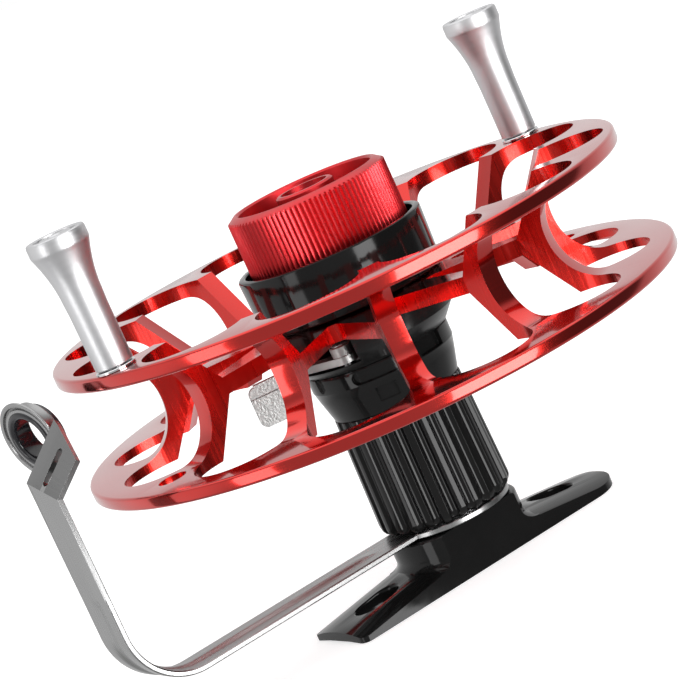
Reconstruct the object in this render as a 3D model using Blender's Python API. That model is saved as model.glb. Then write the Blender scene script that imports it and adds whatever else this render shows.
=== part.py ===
"""Wheel reel with a line guide. The spool turns about Z on a spindle that stands on the rod's foot.

The origin is on the spool's axis, on the flat under the foot. +X runs along the rod, away from the guide.
"""

import math

import bmesh
import bpy
from mathutils import Matrix, Vector

MM = 0.001

# Clearances
SEAT = 0.3 * MM
RUN = 0.15 * MM
OVERCUT = 1.0 * MM

# Foot
FOOT_LENGTH = 56.0 * MM
FOOT_WIDTH = 16.0 * MM
GUIDE_END_CORNER = 1.5 * MM
FREE_END_CORNER = 6.5 * MM
CHANNEL_WIDTH = 6.0 * MM
CHANNEL_RISE = 0.3 * MM
WING_ROOT = 3.5 * MM
WING_TIP = 1.4 * MM
WING_CROWN = 1.0 * MM
PEDESTAL_R = 11.0 * MM
PEDESTAL_TOP = 8.1 * MM
PEDESTAL_COVE = 2.0 * MM
PEDESTAL_SKIRT = 2.7 * MM
PEDESTAL_EDGE = 0.5 * MM
FOOT_SLOT_LENGTH = 8.0 * MM
FOOT_SLOT_WIDTH = 5.5 * MM
FOOT_SLOT_OFFSET = 18.3 * MM
FOOT_SLOT_RIM = 0.5 * MM
FOOT_BORE_FLOOR = 2.5 * MM

# Spindle
SPINDLE_R = 3.0 * MM
SHOULDER_R = 4.2 * MM
SHOULDER_LENGTH = 2.3 * MM
SPINDLE_SCREW_R = 1.5 * MM
SPINDLE_SCREW_LENGTH = 7.0 * MM
SPINDLE_SCREW_HEAD_R = 3.6 * MM
SPINDLE_SCREW_HEAD = 2.0 * MM
SPINDLE_SCREW_SLOT = 0.8 * MM

# Guide arm, a bent strip
SHEET = 0.7 * MM
ARM_WIDTH = 8.4 * MM
ARM_OVERHANG = 11.0 * MM
ARM_BEND_R = 10.5 * MM
ARM_EYE_R = 10.6 * MM
BEAD_HALF = 1.9 * MM
BEAD_CREST = 0.7 * MM
BEAD_DEPTH = 0.45 * MM
BEAD_START = 15.0 * MM
BEAD_END_Z = 26.0 * MM
FOLD_FAR_Z = 45.1 * MM
FOLD_NEAR_Z = 42.2 * MM
HEAD_RISE = 43.3
HEAD_FAR = 10.3 * MM
HEAD_NEAR = 6.5 * MM
HEAD_SLOT_OFFSET = 4.4 * MM
HEAD_SLOT_WIDTH = 1.3 * MM
HEAD_SLOT_START = 0.85 * MM
HEAD_SLOT_END = 6.95 * MM

# Guide ring
RING_CENTRE_SHIFT = Vector((6.5, 5.1, 4.6)) * MM
RING_R = 6.5 * MM
RING_DEPTH = 2.6 * MM
RING_WALL = 1.2 * MM
RING_YAW = 11.0
RING_PITCH = 5.0
INSERT_BORE_R = 3.5 * MM
INSERT_DEPTH = 3.0 * MM
LEG_WIDTH = 1.6 * MM
LEG_THICK = 0.8 * MM
LEG_PLACE = 3.9 * MM
LEG_REACH = 6.0 * MM

# Clamp washer and sleeve nut
CLAMP_WASHER_THICK = 0.6 * MM
CLAMP_WASHER_R = 10.4 * MM
SLEEVE_LENGTH = 14.1 * MM
SLEEVE_FOOT_R = 11.15 * MM
SLEEVE_TOP_R = 10.8 * MM
SLEEVE_CHAMFER = 0.6 * MM
FLUTE_COUNT = 24
FLUTE_DEPTH = 0.45 * MM
FLUTE_SHARE = 0.4

# Stem
STEM_TUBE_R = 8.0 * MM
STEM_FOOT_R = 10.4 * MM
STEM_MID_R = 10.8 * MM
STEM_NECK_R = 11.6 * MM
STEM_BAND_R = 12.0 * MM
STEM_MID = 4.3 * MM
STEM_NECK = 8.8 * MM
STEM_BAND = 10.2 * MM
STEM_LENGTH = 12.7 * MM
RECESS_DEPTH = 0.8 * MM
RECESS_EDGE = 0.3 * MM
WIDE_RECESS = 2.9 * MM
WIDE_RECESS_AZ = (213, 252)
SIDE_RECESS = 2.2 * MM
SIDE_RECESS_AZ = (271.5, 296.5)
LOW_RECESS = 2.4 * MM
LOW_RECESS_DROP = 3.5 * MM
LOW_RECESS_AZ = (228, 245)

# Click housing, an open pan
PAN_FLOOR = 1.2 * MM
PAN_HEIGHT = 3.3 * MM
PAN_FOOT_R = 11.9 * MM
PAN_RIM_R = 14.5 * MM
PAN_WALL = 1.0 * MM
WINDOW_FROM = 146.0
WINDOW_TO = 229.0

# Click lever, pawl and gear
LEVER_THICK = 1.2 * MM
LEVER_PIVOT_R = 10.6 * MM
LEVER_PIVOT_AZ = 214.0
LEVER_BOSS_R = 2.1 * MM
LEVER_BOSS = 3.0 * MM
PADDLE_AZ = 156.5
PADDLE_IN_R = 16.0 * MM
PADDLE_OUT_R = 21.45 * MM
PADDLE_RISE = 0.9 * MM
PADDLE_DROP = 5.8 * MM
PADDLE_CORNER = 1.3 * MM
LEVER_SCREW_R = 0.9 * MM
LEVER_SCREW_HEAD_R = 1.5 * MM
LEVER_SCREW_HEAD = 0.8 * MM
LEVER_SCREW_BITE = 0.9 * MM
PAWL_PIN_R = 0.7 * MM
PAWL_PIVOT_R = 12.0 * MM
PAWL_PIVOT_AZ = 250.0
PAWL_BOSS_R = 1.6 * MM
PAWL_HUB_R = 1.5 * MM
PAWL_THICK = 0.7 * MM
PAWL_TIP_AZ = 236.0
PAWL_TIP_R = 0.25 * MM
PAWL_SPRING_R = 1.25 * MM
PAWL_SPRING_WIRE_R = 0.1 * MM
PAWL_SPRING_TURNS = 1.2
GEAR_R = 10.2 * MM
GEAR_TEETH = 24
GEAR_TOOTH = 0.7 * MM
GEAR_THICK = 0.8 * MM

# Bearings
BEARING_R = 6.0 * MM
BEARING_WIDTH = 3.0 * MM
RACE_IN_R = 4.1 * MM
RACE_OUT_R = 4.9 * MM
BALL_R = 0.75 * MM
BALL_COUNT = 6
CAGE_WALL = 0.4 * MM
CAGE_HEIGHT = 0.7 * MM
BEARING_STOP_R = 4.5 * MM
BEARING_STEP = 1.8 * MM
SPACER_WALL = 0.8 * MM

# Spool
FLANGE_R = 50.0 * MM
FLANGE_THICK = 2.2 * MM
UPPER_FLANGE_STEP = 2.2 * MM
UPPER_FLANGE_THICK = 2.3 * MM
FLANGE_EDGE = 0.5 * MM
FLANGE_SWELL = 0.5 * MM
SWELL_INSET = 1.8 * MM
SPOOL_WIDTH = 20.65 * MM
LINE_DEPTH = 13.8 * MM
GROOVE_FILLET = 6.7 * MM
MOUTH_FLARE = 6.5 * MM
MOUTH_RIM = 11.7 * MM
WEB_THICK = 2.7 * MM
WEB_DROP = 9.0 * MM
WEB_SET = 0.8 * MM
RIB_COUNT = 12
RIB_HALF = 1.65 * MM
RIB_AZ = 7.5
POCKET_RIM = 1.6 * MM
SLOT_IN_R = 17.0 * MM
SLOT_MARGIN = 0.1 * MM
SLOT_IN_AZ = 10.5
SPOOL_SEGMENTS = 60
POCKET_SEGMENTS = 16

# Hub collar
SPIGOT_WALL = 1.3 * MM
SPIGOT_OVERHANG = 0.2 * MM
COLLAR_FLOOR = 4.1 * MM
COLLAR_HEIGHT = 10.6 * MM
COLLAR_SKIRT_R = 15.3 * MM
COLLAR_SKIRT = 4.4 * MM
COLLAR_R = 15.7 * MM
COLLAR_CUP_R = 14.25 * MM
COLLAR_EDGE = 0.4 * MM

# Drag
DRAG_DISC_R = 12.5 * MM
DRAG_DISC_IN_R = 6.8 * MM
DRAG_DISC = 1.2 * MM
DRAG_PLATE = 0.8 * MM
SPRING_R = 6.7 * MM
SPRING_WIRE_R = 0.3 * MM
SPRING_HEIGHT = 4.0 * MM
SPRING_TURNS = 3.0
SPRING_POINTS = 10
COIL_GAP = 0.4 * MM

# Knob
KNOB_R = 13.3 * MM
KNOB_LIFT = 0.5 * MM
SPINDLE_SINK = 3.2 * MM
KNOB_SIDE = 10.7 * MM
KNOB_SLOPE = 0.7 * MM
KNOB_SHOULDER_R = 12.2 * MM
KNOB_BOWL_R = 11.0 * MM
KNOB_BOWL_LIP_R = 11.3 * MM
KNOB_BOWL = 5.6 * MM
KNOB_BOSS_R = 4.8 * MM
KNOB_RECESS_R = 10.0 * MM
KNOB_RECESS = 3.8 * MM
KNURL_COUNT = 60
KNURL_DEPTH = 0.4 * MM

# Handles
HANDLE_INSET = 3.1 * MM
ACCESS_HOLE_R = 2.3 * MM
ACCESS_SHIFT = 0.7 * MM
AXLE_R = 1.6 * MM
AXLE_HEAD_R = 2.7 * MM
AXLE_HEAD = 1.1 * MM
HANDLE_WASHER_R = 3.9 * MM
HANDLE_WASHER = 0.5 * MM
GRIP_LENGTH = 21.3 * MM
GRIP_FOOT_R = 3.0 * MM
GRIP_WAIST_R = 3.3 * MM
GRIP_WAIST_FROM = 8.5 * MM
GRIP_WAIST_TO = 15.0 * MM
GRIP_FLARE_R = 4.4 * MM
GRIP_FLARE = 19.1 * MM
GRIP_HEAD_R = 4.7 * MM
GRIP_HEAD = 20.6 * MM
GRIP_DISH_R = 3.4 * MM
GRIP_DISH = 1.2 * MM
GRIP_EDGE = 0.25 * MM
CAP_R = 2.7 * MM
CAP_THICK = 0.7 * MM

# Fineness
FINE_SEGMENTS = 36
ROUND_SEGMENTS = 24
SMALL_SEGMENTS = 16
TINY_SEGMENTS = 10
SHARP_ANGLE = 35.0
MERGE = 0.001 * MM
CORNER_STEPS = 4
ARM_BEND_STEPS = 8
GROOVE_STEPS = 4
RACE_STEPS = 3
FOOT_LANE_SHARES = (-1.0, -0.7, -0.36, 0, 0.36, 0.7, 1.0)

# Radii that follow from others
UPPER_FLANGE_R = FLANGE_R - UPPER_FLANGE_STEP
FLANGE_SWELL_R = UPPER_FLANGE_R - SWELL_INSET
GROOVE_R = UPPER_FLANGE_R - LINE_DEPTH
MOUTH_R = UPPER_FLANGE_R - MOUTH_RIM
THROAT_R = MOUTH_R - MOUTH_FLARE
SLOT_OUT_R = THROAT_R - SLOT_MARGIN
POCKET_CENTRE_R = (UPPER_FLANGE_R - POCKET_RIM + RIB_HALF) / (1 + math.sin(math.pi / RIB_COUNT))
HANDLE_R = UPPER_FLANGE_R - HANDLE_INSET
ACCESS_R = HANDLE_R - ACCESS_SHIFT
ARM_REACH = FLANGE_R + ARM_OVERHANG

# Levels, from the rod seat up
ARM_Z = PEDESTAL_TOP + SEAT
WASHER_Z = ARM_Z + SHEET + SEAT
SLEEVE_Z = WASHER_Z + CLAMP_WASHER_THICK + SEAT
STEM_Z = SLEEVE_Z + SLEEVE_LENGTH + SEAT
PAN_Z = STEM_Z + STEM_LENGTH + SEAT
PAN_TOP_Z = PAN_Z + PAN_HEIGHT
LEVER_Z = PAN_Z + PAN_FLOOR + SEAT
SHOULDER_Z = LEVER_Z + SHOULDER_LENGTH
LOWER_BEARING_Z = SHOULDER_Z + SEAT
SPACER_Z = LOWER_BEARING_Z + BEARING_WIDTH + SEAT
UPPER_BEARING_Z = SPACER_Z + BEARING_STEP + SEAT
SPIGOT_Z = LOWER_BEARING_Z - SPIGOT_OVERHANG
WEB_TOP_Z = UPPER_BEARING_Z - WEB_SET
COLLAR_Z = WEB_TOP_Z + SEAT
FLANGE_TOP_Z = WEB_TOP_Z + WEB_DROP
SPOOL_Z = FLANGE_TOP_Z - SPOOL_WIDTH
DISC_Z = COLLAR_Z + COLLAR_FLOOR + SEAT
PLATE_Z = DISC_Z + DRAG_DISC + SEAT
SPRING_Z = PLATE_Z + DRAG_PLATE + SEAT
KNOB_Z = SPRING_Z + KNOB_LIFT
KNOB_TOP_Z = KNOB_Z + KNOB_SIDE + KNOB_SLOPE
SPINDLE_TOP_Z = KNOB_TOP_Z - SPINDLE_SINK
HANDLE_WASHER_Z = FLANGE_TOP_Z + SEAT
GRIP_Z = HANDLE_WASHER_Z + HANDLE_WASHER + SEAT
GRIP_TOP_Z = GRIP_Z + GRIP_LENGTH
HANDLE_BOTTOM_Z = FLANGE_TOP_Z - UPPER_FLANGE_THICK - FLANGE_SWELL

# Colours, roughness and metallic value
RED = ((0.60, 0.012, 0.018), 0.28, 1.0)
BLACK = ((0.010, 0.010, 0.011), 0.16, 0.0)
DARK = ((0.015, 0.015, 0.016), 0.30, 0.0)
STEEL = ((0.55, 0.55, 0.56), 0.30, 1.0)
SATIN = ((0.68, 0.68, 0.69), 0.34, 1.0)
CAST = ((0.62, 0.61, 0.60), 0.50, 1.0)
FELT = ((0.12, 0.12, 0.12), 0.90, 0.0)


def clear_objects():
    """Start from an empty scene."""
    for obj in list(bpy.data.objects):
        bpy.data.objects.remove(obj, do_unlink=True)


def material(name, look):
    """A principled material with a colour, a roughness and a metallic value."""
    colour, roughness, metallic = look
    made = bpy.data.materials.new(name)
    made.use_nodes = True
    shader = made.node_tree.nodes["Principled BSDF"]
    shader.inputs["Base Color"].default_value = (*colour, 1.0)
    shader.inputs["Roughness"].default_value = roughness
    shader.inputs["Metallic"].default_value = metallic
    made.diffuse_color = (*colour, 1.0)
    return made


def piece(name, bm, look, axis=None):
    """Turn a closed mesh into a named object whose origin stands on its own axis."""
    origin = Vector(axis) if axis is not None else Vector((0, 0, 0))
    bmesh.ops.recalc_face_normals(bm, faces=bm.faces)
    bmesh.ops.translate(bm, vec=-origin, verts=bm.verts)
    mesh = bpy.data.meshes.new(name)
    bm.to_mesh(mesh)
    bm.free()
    mesh.shade_smooth()
    mesh.set_sharp_from_angle(angle=math.radians(SHARP_ANGLE))
    mesh.materials.append(material(name, look))
    obj = bpy.data.objects.new(name, mesh)
    obj.location = origin
    bpy.context.scene.collection.objects.link(obj)
    return obj


def polar(radius, degrees):
    """The plan point at a radius and an azimuth."""
    angle = math.radians(degrees)
    return Vector((radius * math.cos(angle), radius * math.sin(angle)))


def upright(plan, z):
    """A plan point at a height."""
    return Vector((plan[0], plan[1], z))


def arc(centre, radius, start, end, steps):
    """Points along an arc in a plane, both ends included, angles in degrees."""
    sweep = [start + (end - start) * i / steps for i in range(steps + 1)]
    return [Vector(centre) + polar(radius, angle) for angle in sweep]


def lathe(profile, segments, centre=(0, 0), phase=0.0):
    """Turn a closed outline of (radius, height) points about a vertical axis."""
    bm = bmesh.new()
    verts = [bm.verts.new((r, 0, z)) for r, z in profile]
    for first, second in zip(verts, verts[1:] + verts[:1]):
        bm.edges.new((first, second))
    bmesh.ops.spin(bm, geom=bm.verts[:] + bm.edges[:], cent=(0, 0, 0), axis=(0, 0, 1), angle=2 * math.pi,
                   steps=segments, use_merge=True)
    bmesh.ops.remove_doubles(bm, verts=bm.verts, dist=MERGE)
    bmesh.ops.dissolve_degenerate(bm, edges=bm.edges, dist=MERGE)
    bmesh.ops.rotate(bm, cent=(0, 0, 0), matrix=Matrix.Rotation(phase, 3, "Z"), verts=bm.verts)
    bmesh.ops.translate(bm, vec=(centre[0], centre[1], 0), verts=bm.verts)
    bmesh.ops.recalc_face_normals(bm, faces=bm.faces)
    return bm


def tube(inner, outer, low, high, segments, centre=(0, 0)):
    """A plain round tube."""
    return lathe([(inner, low), (outer, low), (outer, high), (inner, high)], segments, centre)


def rod(radius, low, high, segments, centre=(0, 0)):
    """A plain round rod."""
    return tube(0, radius, low, high, segments, centre)


def stack(rings):
    """Extrude one outline through a row of outlines with the same number of points."""
    bm = bmesh.new()
    face = bm.faces.new([bm.verts.new(point) for point in rings[0]])
    for level, ring in enumerate(rings[1:]):
        grown = bmesh.ops.extrude_face_region(bm, geom=[face])["geom"]
        if level:
            bmesh.ops.delete(bm, geom=[face], context="FACES_ONLY")
        face = next(item for item in grown if isinstance(item, bmesh.types.BMFace))
        for vert, point in zip(face.verts, ring):
            vert.co = point
    bmesh.ops.recalc_face_normals(bm, faces=bm.faces)
    return bm


def prism(outline, low, high):
    """Raise a plan outline between two heights."""
    return stack([[upright(point, z) for point in outline] for z in (low, high)])


def sector(inner, outer, start, end, low, high, steps):
    """A block between two radii and two azimuths."""
    outline = arc((0, 0), outer, start, end, steps) + arc((0, 0), inner, end, start, steps)
    return prism(outline, low, high)


def hull(bodies):
    """The convex body round some others."""
    bm = gather(bodies)
    made = bmesh.ops.convex_hull(bm, input=bm.verts)
    spare = set(made["geom_interior"]) | set(made["geom_unused"])
    bmesh.ops.delete(bm, geom=[v for v in spare if isinstance(v, bmesh.types.BMVert)], context="VERTS")
    keep = {item for item in made["geom"] if isinstance(item, bmesh.types.BMFace)}
    bmesh.ops.delete(bm, geom=[face for face in bm.faces if face not in keep], context="FACES_ONLY")
    bmesh.ops.recalc_face_normals(bm, faces=bm.faces)
    return bm


def gather(bodies):
    """Put separate bodies into one mesh."""
    together = bmesh.new()
    for body in bodies:
        mesh = bpy.data.meshes.new("gathered")
        body.to_mesh(mesh)
        body.free()
        together.from_mesh(mesh)
        bpy.data.meshes.remove(mesh)
    return together


def loose_object(bm):
    """An object that lasts only while a shape is cut or joined."""
    mesh = bpy.data.meshes.new("loose")
    bm.to_mesh(mesh)
    bm.free()
    obj = bpy.data.objects.new("loose", mesh)
    bpy.context.scene.collection.objects.link(obj)
    return obj


def combine(base, tool, operation, solver="EXACT"):
    """Cut a body with another, or join the two."""
    kept = loose_object(base)
    used = loose_object(tool)
    modifier = kept.modifiers.new("combine", "BOOLEAN")
    modifier.operation = operation
    modifier.solver = solver
    modifier.object = used
    graph = bpy.context.evaluated_depsgraph_get()
    mesh = bpy.data.meshes.new_from_object(kept.evaluated_get(graph))
    result = bmesh.new()
    result.from_mesh(mesh)
    for obj in (kept, used):
        spare = obj.data
        bpy.data.objects.remove(obj)
        bpy.data.meshes.remove(spare)
    bpy.data.meshes.remove(mesh)
    bmesh.ops.remove_doubles(result, verts=result.verts, dist=MERGE)
    bmesh.ops.dissolve_degenerate(result, edges=result.edges, dist=MERGE)
    return result


def cut(base, *tools):
    """Take some bodies, which don't touch each other, out of a body."""
    return combine(base, gather(tools), "DIFFERENCE")


def join(base, *others):
    """Join bodies one after another."""
    for other in others:
        base = combine(base, other, "UNION")
    return base


def moved(bm, matrix):
    """Place a body."""
    bmesh.ops.transform(bm, matrix=matrix, verts=bm.verts)
    return bm


def coil(radius, wire, low, high, turns, centre=(0, 0)):
    """Points of a coil between two heights, its wire inside them."""
    count = round(turns * SPRING_POINTS)
    points = []
    for i in range(count + 1):
        plan = Vector(centre) + polar(radius, 360 * i / SPRING_POINTS)
        points.append(upright(plan, low + wire + (high - low - 2 * wire) * i / count))
    gap = least_gap(points, wire)
    print("coil gap in mm:", round(gap / MM, 3))
    assert gap > COIL_GAP
    return points


def least_gap(points, wire):
    """The smallest gap between a coil's turns."""
    apart = SPRING_POINTS // 2
    spans = [(a - b).length for i, a in enumerate(points) for b in points[i + apart:]]
    return min(spans) - 2 * wire


def wire_piece(name, points, wire, look, axis):
    """A wire along some points, as a curve with filled ends."""
    curve = bpy.data.curves.new(name, "CURVE")
    curve.dimensions = "3D"
    curve.bevel_depth = wire
    curve.bevel_resolution = 1
    curve.use_fill_caps = True
    spline = curve.splines.new("POLY")
    spline.points.add(len(points) - 1)
    for target, point in zip(spline.points, points):
        target.co = (*(point - Vector(axis)), 1.0)
    curve.materials.append(material(name, look))
    obj = bpy.data.objects.new(name, curve)
    obj.location = axis
    bpy.context.scene.collection.objects.link(obj)
    return obj


def wing_height(x):
    """Height of the wings' crest, which falls from the pedestal to the tips."""
    share = (abs(x) - PEDESTAL_R) / (FOOT_LENGTH / 2 - PEDESTAL_R)
    return WING_ROOT - (WING_ROOT - WING_TIP) * share


def wing_section(x):
    """The wings' outline across the rod at one place, crowned on top and channelled below."""
    half = FOOT_WIDTH / 2 + OVERCUT
    top = []
    for share in FOOT_LANE_SHARES:
        crown = WING_CROWN * (share * half / (FOOT_WIDTH / 2)) ** 2
        top.append(Vector((x, share * half, wing_height(x) - crown)))
    edge = [Vector((x, half, -CHANNEL_RISE)), Vector((x, CHANNEL_WIDTH / 2, 0))]
    mirrored = [Vector((x, -point.y, point.z)) for point in reversed(edge)]
    return top + edge + mirrored


def foot_plan():
    """The foot seen from above: squared at the guide's end, rounded at the other."""
    x, y = FOOT_LENGTH / 2, FOOT_WIDTH / 2
    free, guide = FREE_END_CORNER, GUIDE_END_CORNER
    outline = arc((x - free, y - free), free, 0, 90, CORNER_STEPS)
    outline += arc((guide - x, y - guide), guide, 90, 180, CORNER_STEPS)
    outline += arc((guide - x, guide - y), guide, 180, 270, CORNER_STEPS)
    return outline + arc((x - free, free - y), free, 270, 360, CORNER_STEPS)


def pedestal():
    """The round boss between the wings, with a coved foot."""
    cove_top = PEDESTAL_SKIRT + PEDESTAL_COVE
    cove = arc((PEDESTAL_R + PEDESTAL_COVE, cove_top), PEDESTAL_COVE, 270, 180, CORNER_STEPS)
    profile = [(0, WING_TIP / 2), (PEDESTAL_R + PEDESTAL_COVE, WING_TIP / 2)] + [(p.x, p.y) for p in cove]
    profile += [(PEDESTAL_R, PEDESTAL_TOP - PEDESTAL_EDGE), (PEDESTAL_R - PEDESTAL_EDGE, PEDESTAL_TOP),
                (0, PEDESTAL_TOP)]
    return lathe(profile, FINE_SEGMENTS)


def obround(centre, length, width):
    """A plan outline with round ends, drawn out along X."""
    shift = (length - width) / 2
    plan = arc((centre + shift, 0), width / 2, -90, 90, TINY_SEGMENTS // 2)
    return plan + arc((centre - shift, 0), width / 2, 90, 270, TINY_SEGMENTS // 2)


def foot_slot(side):
    """An obround hole through a wing, with its rim opened out."""
    centre = side * FOOT_SLOT_OFFSET
    narrow = obround(centre, FOOT_SLOT_LENGTH, FOOT_SLOT_WIDTH)
    wide = obround(centre, FOOT_SLOT_LENGTH + 2 * FOOT_SLOT_RIM, FOOT_SLOT_WIDTH + 2 * FOOT_SLOT_RIM)
    return stack([[upright(point, -OVERCUT) for point in narrow],
                  [upright(point, wing_height(point.x) - FOOT_SLOT_RIM) for point in narrow],
                  [upright(point, wing_height(point.x)) for point in wide],
                  [upright(point, PEDESTAL_TOP) for point in wide]])


def make_foot():
    reach = FOOT_LENGTH / 2 + OVERCUT
    body = join(stack([wing_section(x) for x in (-reach, 0, reach)]), pedestal())
    body = combine(body, prism(foot_plan(), -OVERCUT, PEDESTAL_TOP + OVERCUT), "INTERSECT")
    bore = rod(SPINDLE_R + SEAT, FOOT_BORE_FLOOR, PEDESTAL_TOP + OVERCUT, ROUND_SEGMENTS)
    body = cut(body, bore, foot_slot(-1), foot_slot(1))
    piece("foot", body, BLACK)


def make_spindle():
    top = SPINDLE_TOP_Z
    hole = top - SPINDLE_SCREW_LENGTH
    profile = [(0, FOOT_BORE_FLOOR + SEAT), (SPINDLE_R, FOOT_BORE_FLOOR + SEAT), (SPINDLE_R, LEVER_Z),
               (SHOULDER_R, LEVER_Z), (SHOULDER_R, SHOULDER_Z), (SPINDLE_R, SHOULDER_Z), (SPINDLE_R, top),
               (SPINDLE_SCREW_R + SEAT, top), (SPINDLE_SCREW_R + SEAT, hole), (0, hole)]
    piece("spindle", lathe(profile, ROUND_SEGMENTS), STEEL)


def make_spindle_screw():
    low = SPINDLE_TOP_Z - SPINDLE_SCREW_LENGTH + SEAT
    seat = SPINDLE_TOP_Z + SEAT
    top = seat + SPINDLE_SCREW_HEAD
    profile = [(0, low), (SPINDLE_SCREW_R, low), (SPINDLE_SCREW_R, seat), (SPINDLE_SCREW_HEAD_R, seat),
               (SPINDLE_SCREW_HEAD_R, top - GRIP_EDGE), (SPINDLE_SCREW_HEAD_R - GRIP_EDGE, top), (0, top)]
    half = SPINDLE_SCREW_SLOT / 2
    reach = SPINDLE_SCREW_HEAD_R + OVERCUT
    plan = [(-reach, -half), (reach, -half), (reach, half), (-reach, half)]
    slot = prism([Vector(point) for point in plan], top - SPINDLE_SCREW_SLOT, top + OVERCUT)
    piece("spindle_screw", cut(lathe(profile, SMALL_SEGMENTS), slot), STEEL)


def bead_offset(across, strength):
    """How far the pressed bead lifts the strip at a place across it."""
    if abs(across) >= BEAD_HALF:
        return 0
    if abs(across) <= BEAD_CREST:
        return BEAD_DEPTH * strength
    return BEAD_DEPTH * strength * (BEAD_HALF - abs(across)) / (BEAD_HALF - BEAD_CREST)


def strip_lanes():
    """Places across the strip, from the near edge to the far one."""
    return [-ARM_WIDTH / 2, -BEAD_HALF, -BEAD_CREST, BEAD_CREST, BEAD_HALF, ARM_WIDTH / 2]


def strip_section(outer, inward, strength):
    """The strip's outline at one place: its outer face, then its inner face, both across Y."""
    outside = []
    inside = []
    for y in strip_lanes():
        lift = bead_offset(y, strength)
        base = outer + Vector((0, y, 0))
        outside.append(base + inward * lift)
        inside.append(base + inward * (SHEET + lift))
    return outside + inside[::-1]


def arm_run():
    """Sections of the strip from the eye to the top of the upright."""
    bend_x = -(ARM_REACH - ARM_BEND_R)
    bend_z = ARM_Z + ARM_BEND_R
    up = Vector((0, 0, 1))
    start = -(STEM_TUBE_R + SEAT + ARM_EYE_R) / 2
    sections = [strip_section(Vector((start, 0, ARM_Z)), up, 0)]
    sections.append(strip_section(Vector((-BEAD_START, 0, ARM_Z)), up, 0))
    sections.append(strip_section(Vector((-BEAD_START - 2 * BEAD_HALF, 0, ARM_Z)), up, 1))
    for i in range(ARM_BEND_STEPS + 1):
        turn = math.radians(90 * i / ARM_BEND_STEPS)
        outer = Vector((bend_x - ARM_BEND_R * math.sin(turn), 0, bend_z - ARM_BEND_R * math.cos(turn)))
        sections.append(strip_section(outer, Vector((math.sin(turn), 0, math.cos(turn))), 1))
    sections.append(strip_section(Vector((-ARM_REACH, 0, BEAD_END_Z - BEAD_HALF)), Vector((1, 0, 0)), 1))
    sections.append(strip_section(Vector((-ARM_REACH, 0, BEAD_END_Z)), Vector((1, 0, 0)), 0))
    return sections


def head_frame():
    """The head's far fold corner, and its directions along the fold, away from it and out of its face."""
    corner = Vector((-ARM_REACH, ARM_WIDTH / 2, FOLD_FAR_Z))
    along = Vector((0, ARM_WIDTH, FOLD_FAR_Z - FOLD_NEAR_Z)).normalized()
    rise = math.radians(HEAD_RISE)
    away = Vector((math.cos(rise), -along.z * math.sin(rise), along.y * math.sin(rise)))
    return corner, along, away, away.cross(along)


def head_point(fold, lift, height):
    """A point of the head: back along the fold from its far corner, up its face and out of it."""
    corner, along, away, face = head_frame()
    return corner - along * fold + away * lift + face * height


def head_sections():
    """The mitred fold and the slanted end of the head."""
    corner, along, away, face = head_frame()
    inward = Vector((1, 0, 0))
    mitre = (inward - face) * SHEET / (1 - inward.dot(face))
    fold_out, fold_in, end_out, end_in = [], [], [], []
    for y in strip_lanes():
        back = (ARM_WIDTH / 2 - y) / along.y
        length = HEAD_FAR + (HEAD_NEAR - HEAD_FAR) * back * along.y / ARM_WIDTH
        fold_out.append(head_point(back, 0, 0))
        fold_in.append(head_point(back, 0, 0) + mitre)
        end_out.append(head_point(back, length, 0))
        end_in.append(head_point(back, length, -SHEET))
    return [fold_out + fold_in[::-1], end_out + end_in[::-1]]


def make_guide_arm():
    corner, along, away, face = head_frame()
    strip = stack(arm_run() + head_sections())
    eye = tube(STEM_TUBE_R + SEAT, ARM_EYE_R, ARM_Z, ARM_Z + SHEET, FINE_SEGMENTS)
    frame = Matrix((along, away, face)).transposed().to_4x4()
    radius = HEAD_SLOT_WIDTH / 2
    ends = arc((0, HEAD_SLOT_END - radius), radius, 0, 180, TINY_SEGMENTS // 2)
    ends += arc((0, HEAD_SLOT_START + radius), radius, 180, 360, TINY_SEGMENTS // 2)
    slot = prism(ends, -SHEET - OVERCUT, OVERCUT)
    frame.translation = head_point(HEAD_SLOT_OFFSET, 0, 0)
    body = cut(join(eye, strip), moved(slot, frame))
    piece("guide_arm", body, STEEL)


def ring_frame():
    """Where the guide ring stands, its axis as local Z."""
    yaw, pitch = math.radians(RING_YAW), math.radians(RING_PITCH)
    axis = -Vector((math.cos(pitch) * math.cos(yaw), math.cos(pitch) * math.sin(yaw), math.sin(pitch)))
    corner = Vector((-ARM_REACH, ARM_WIDTH / 2, FOLD_FAR_Z))
    return Matrix.Translation(corner + RING_CENTRE_SHIFT) @ axis.to_track_quat("Z", "Y").to_matrix().to_4x4()


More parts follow.
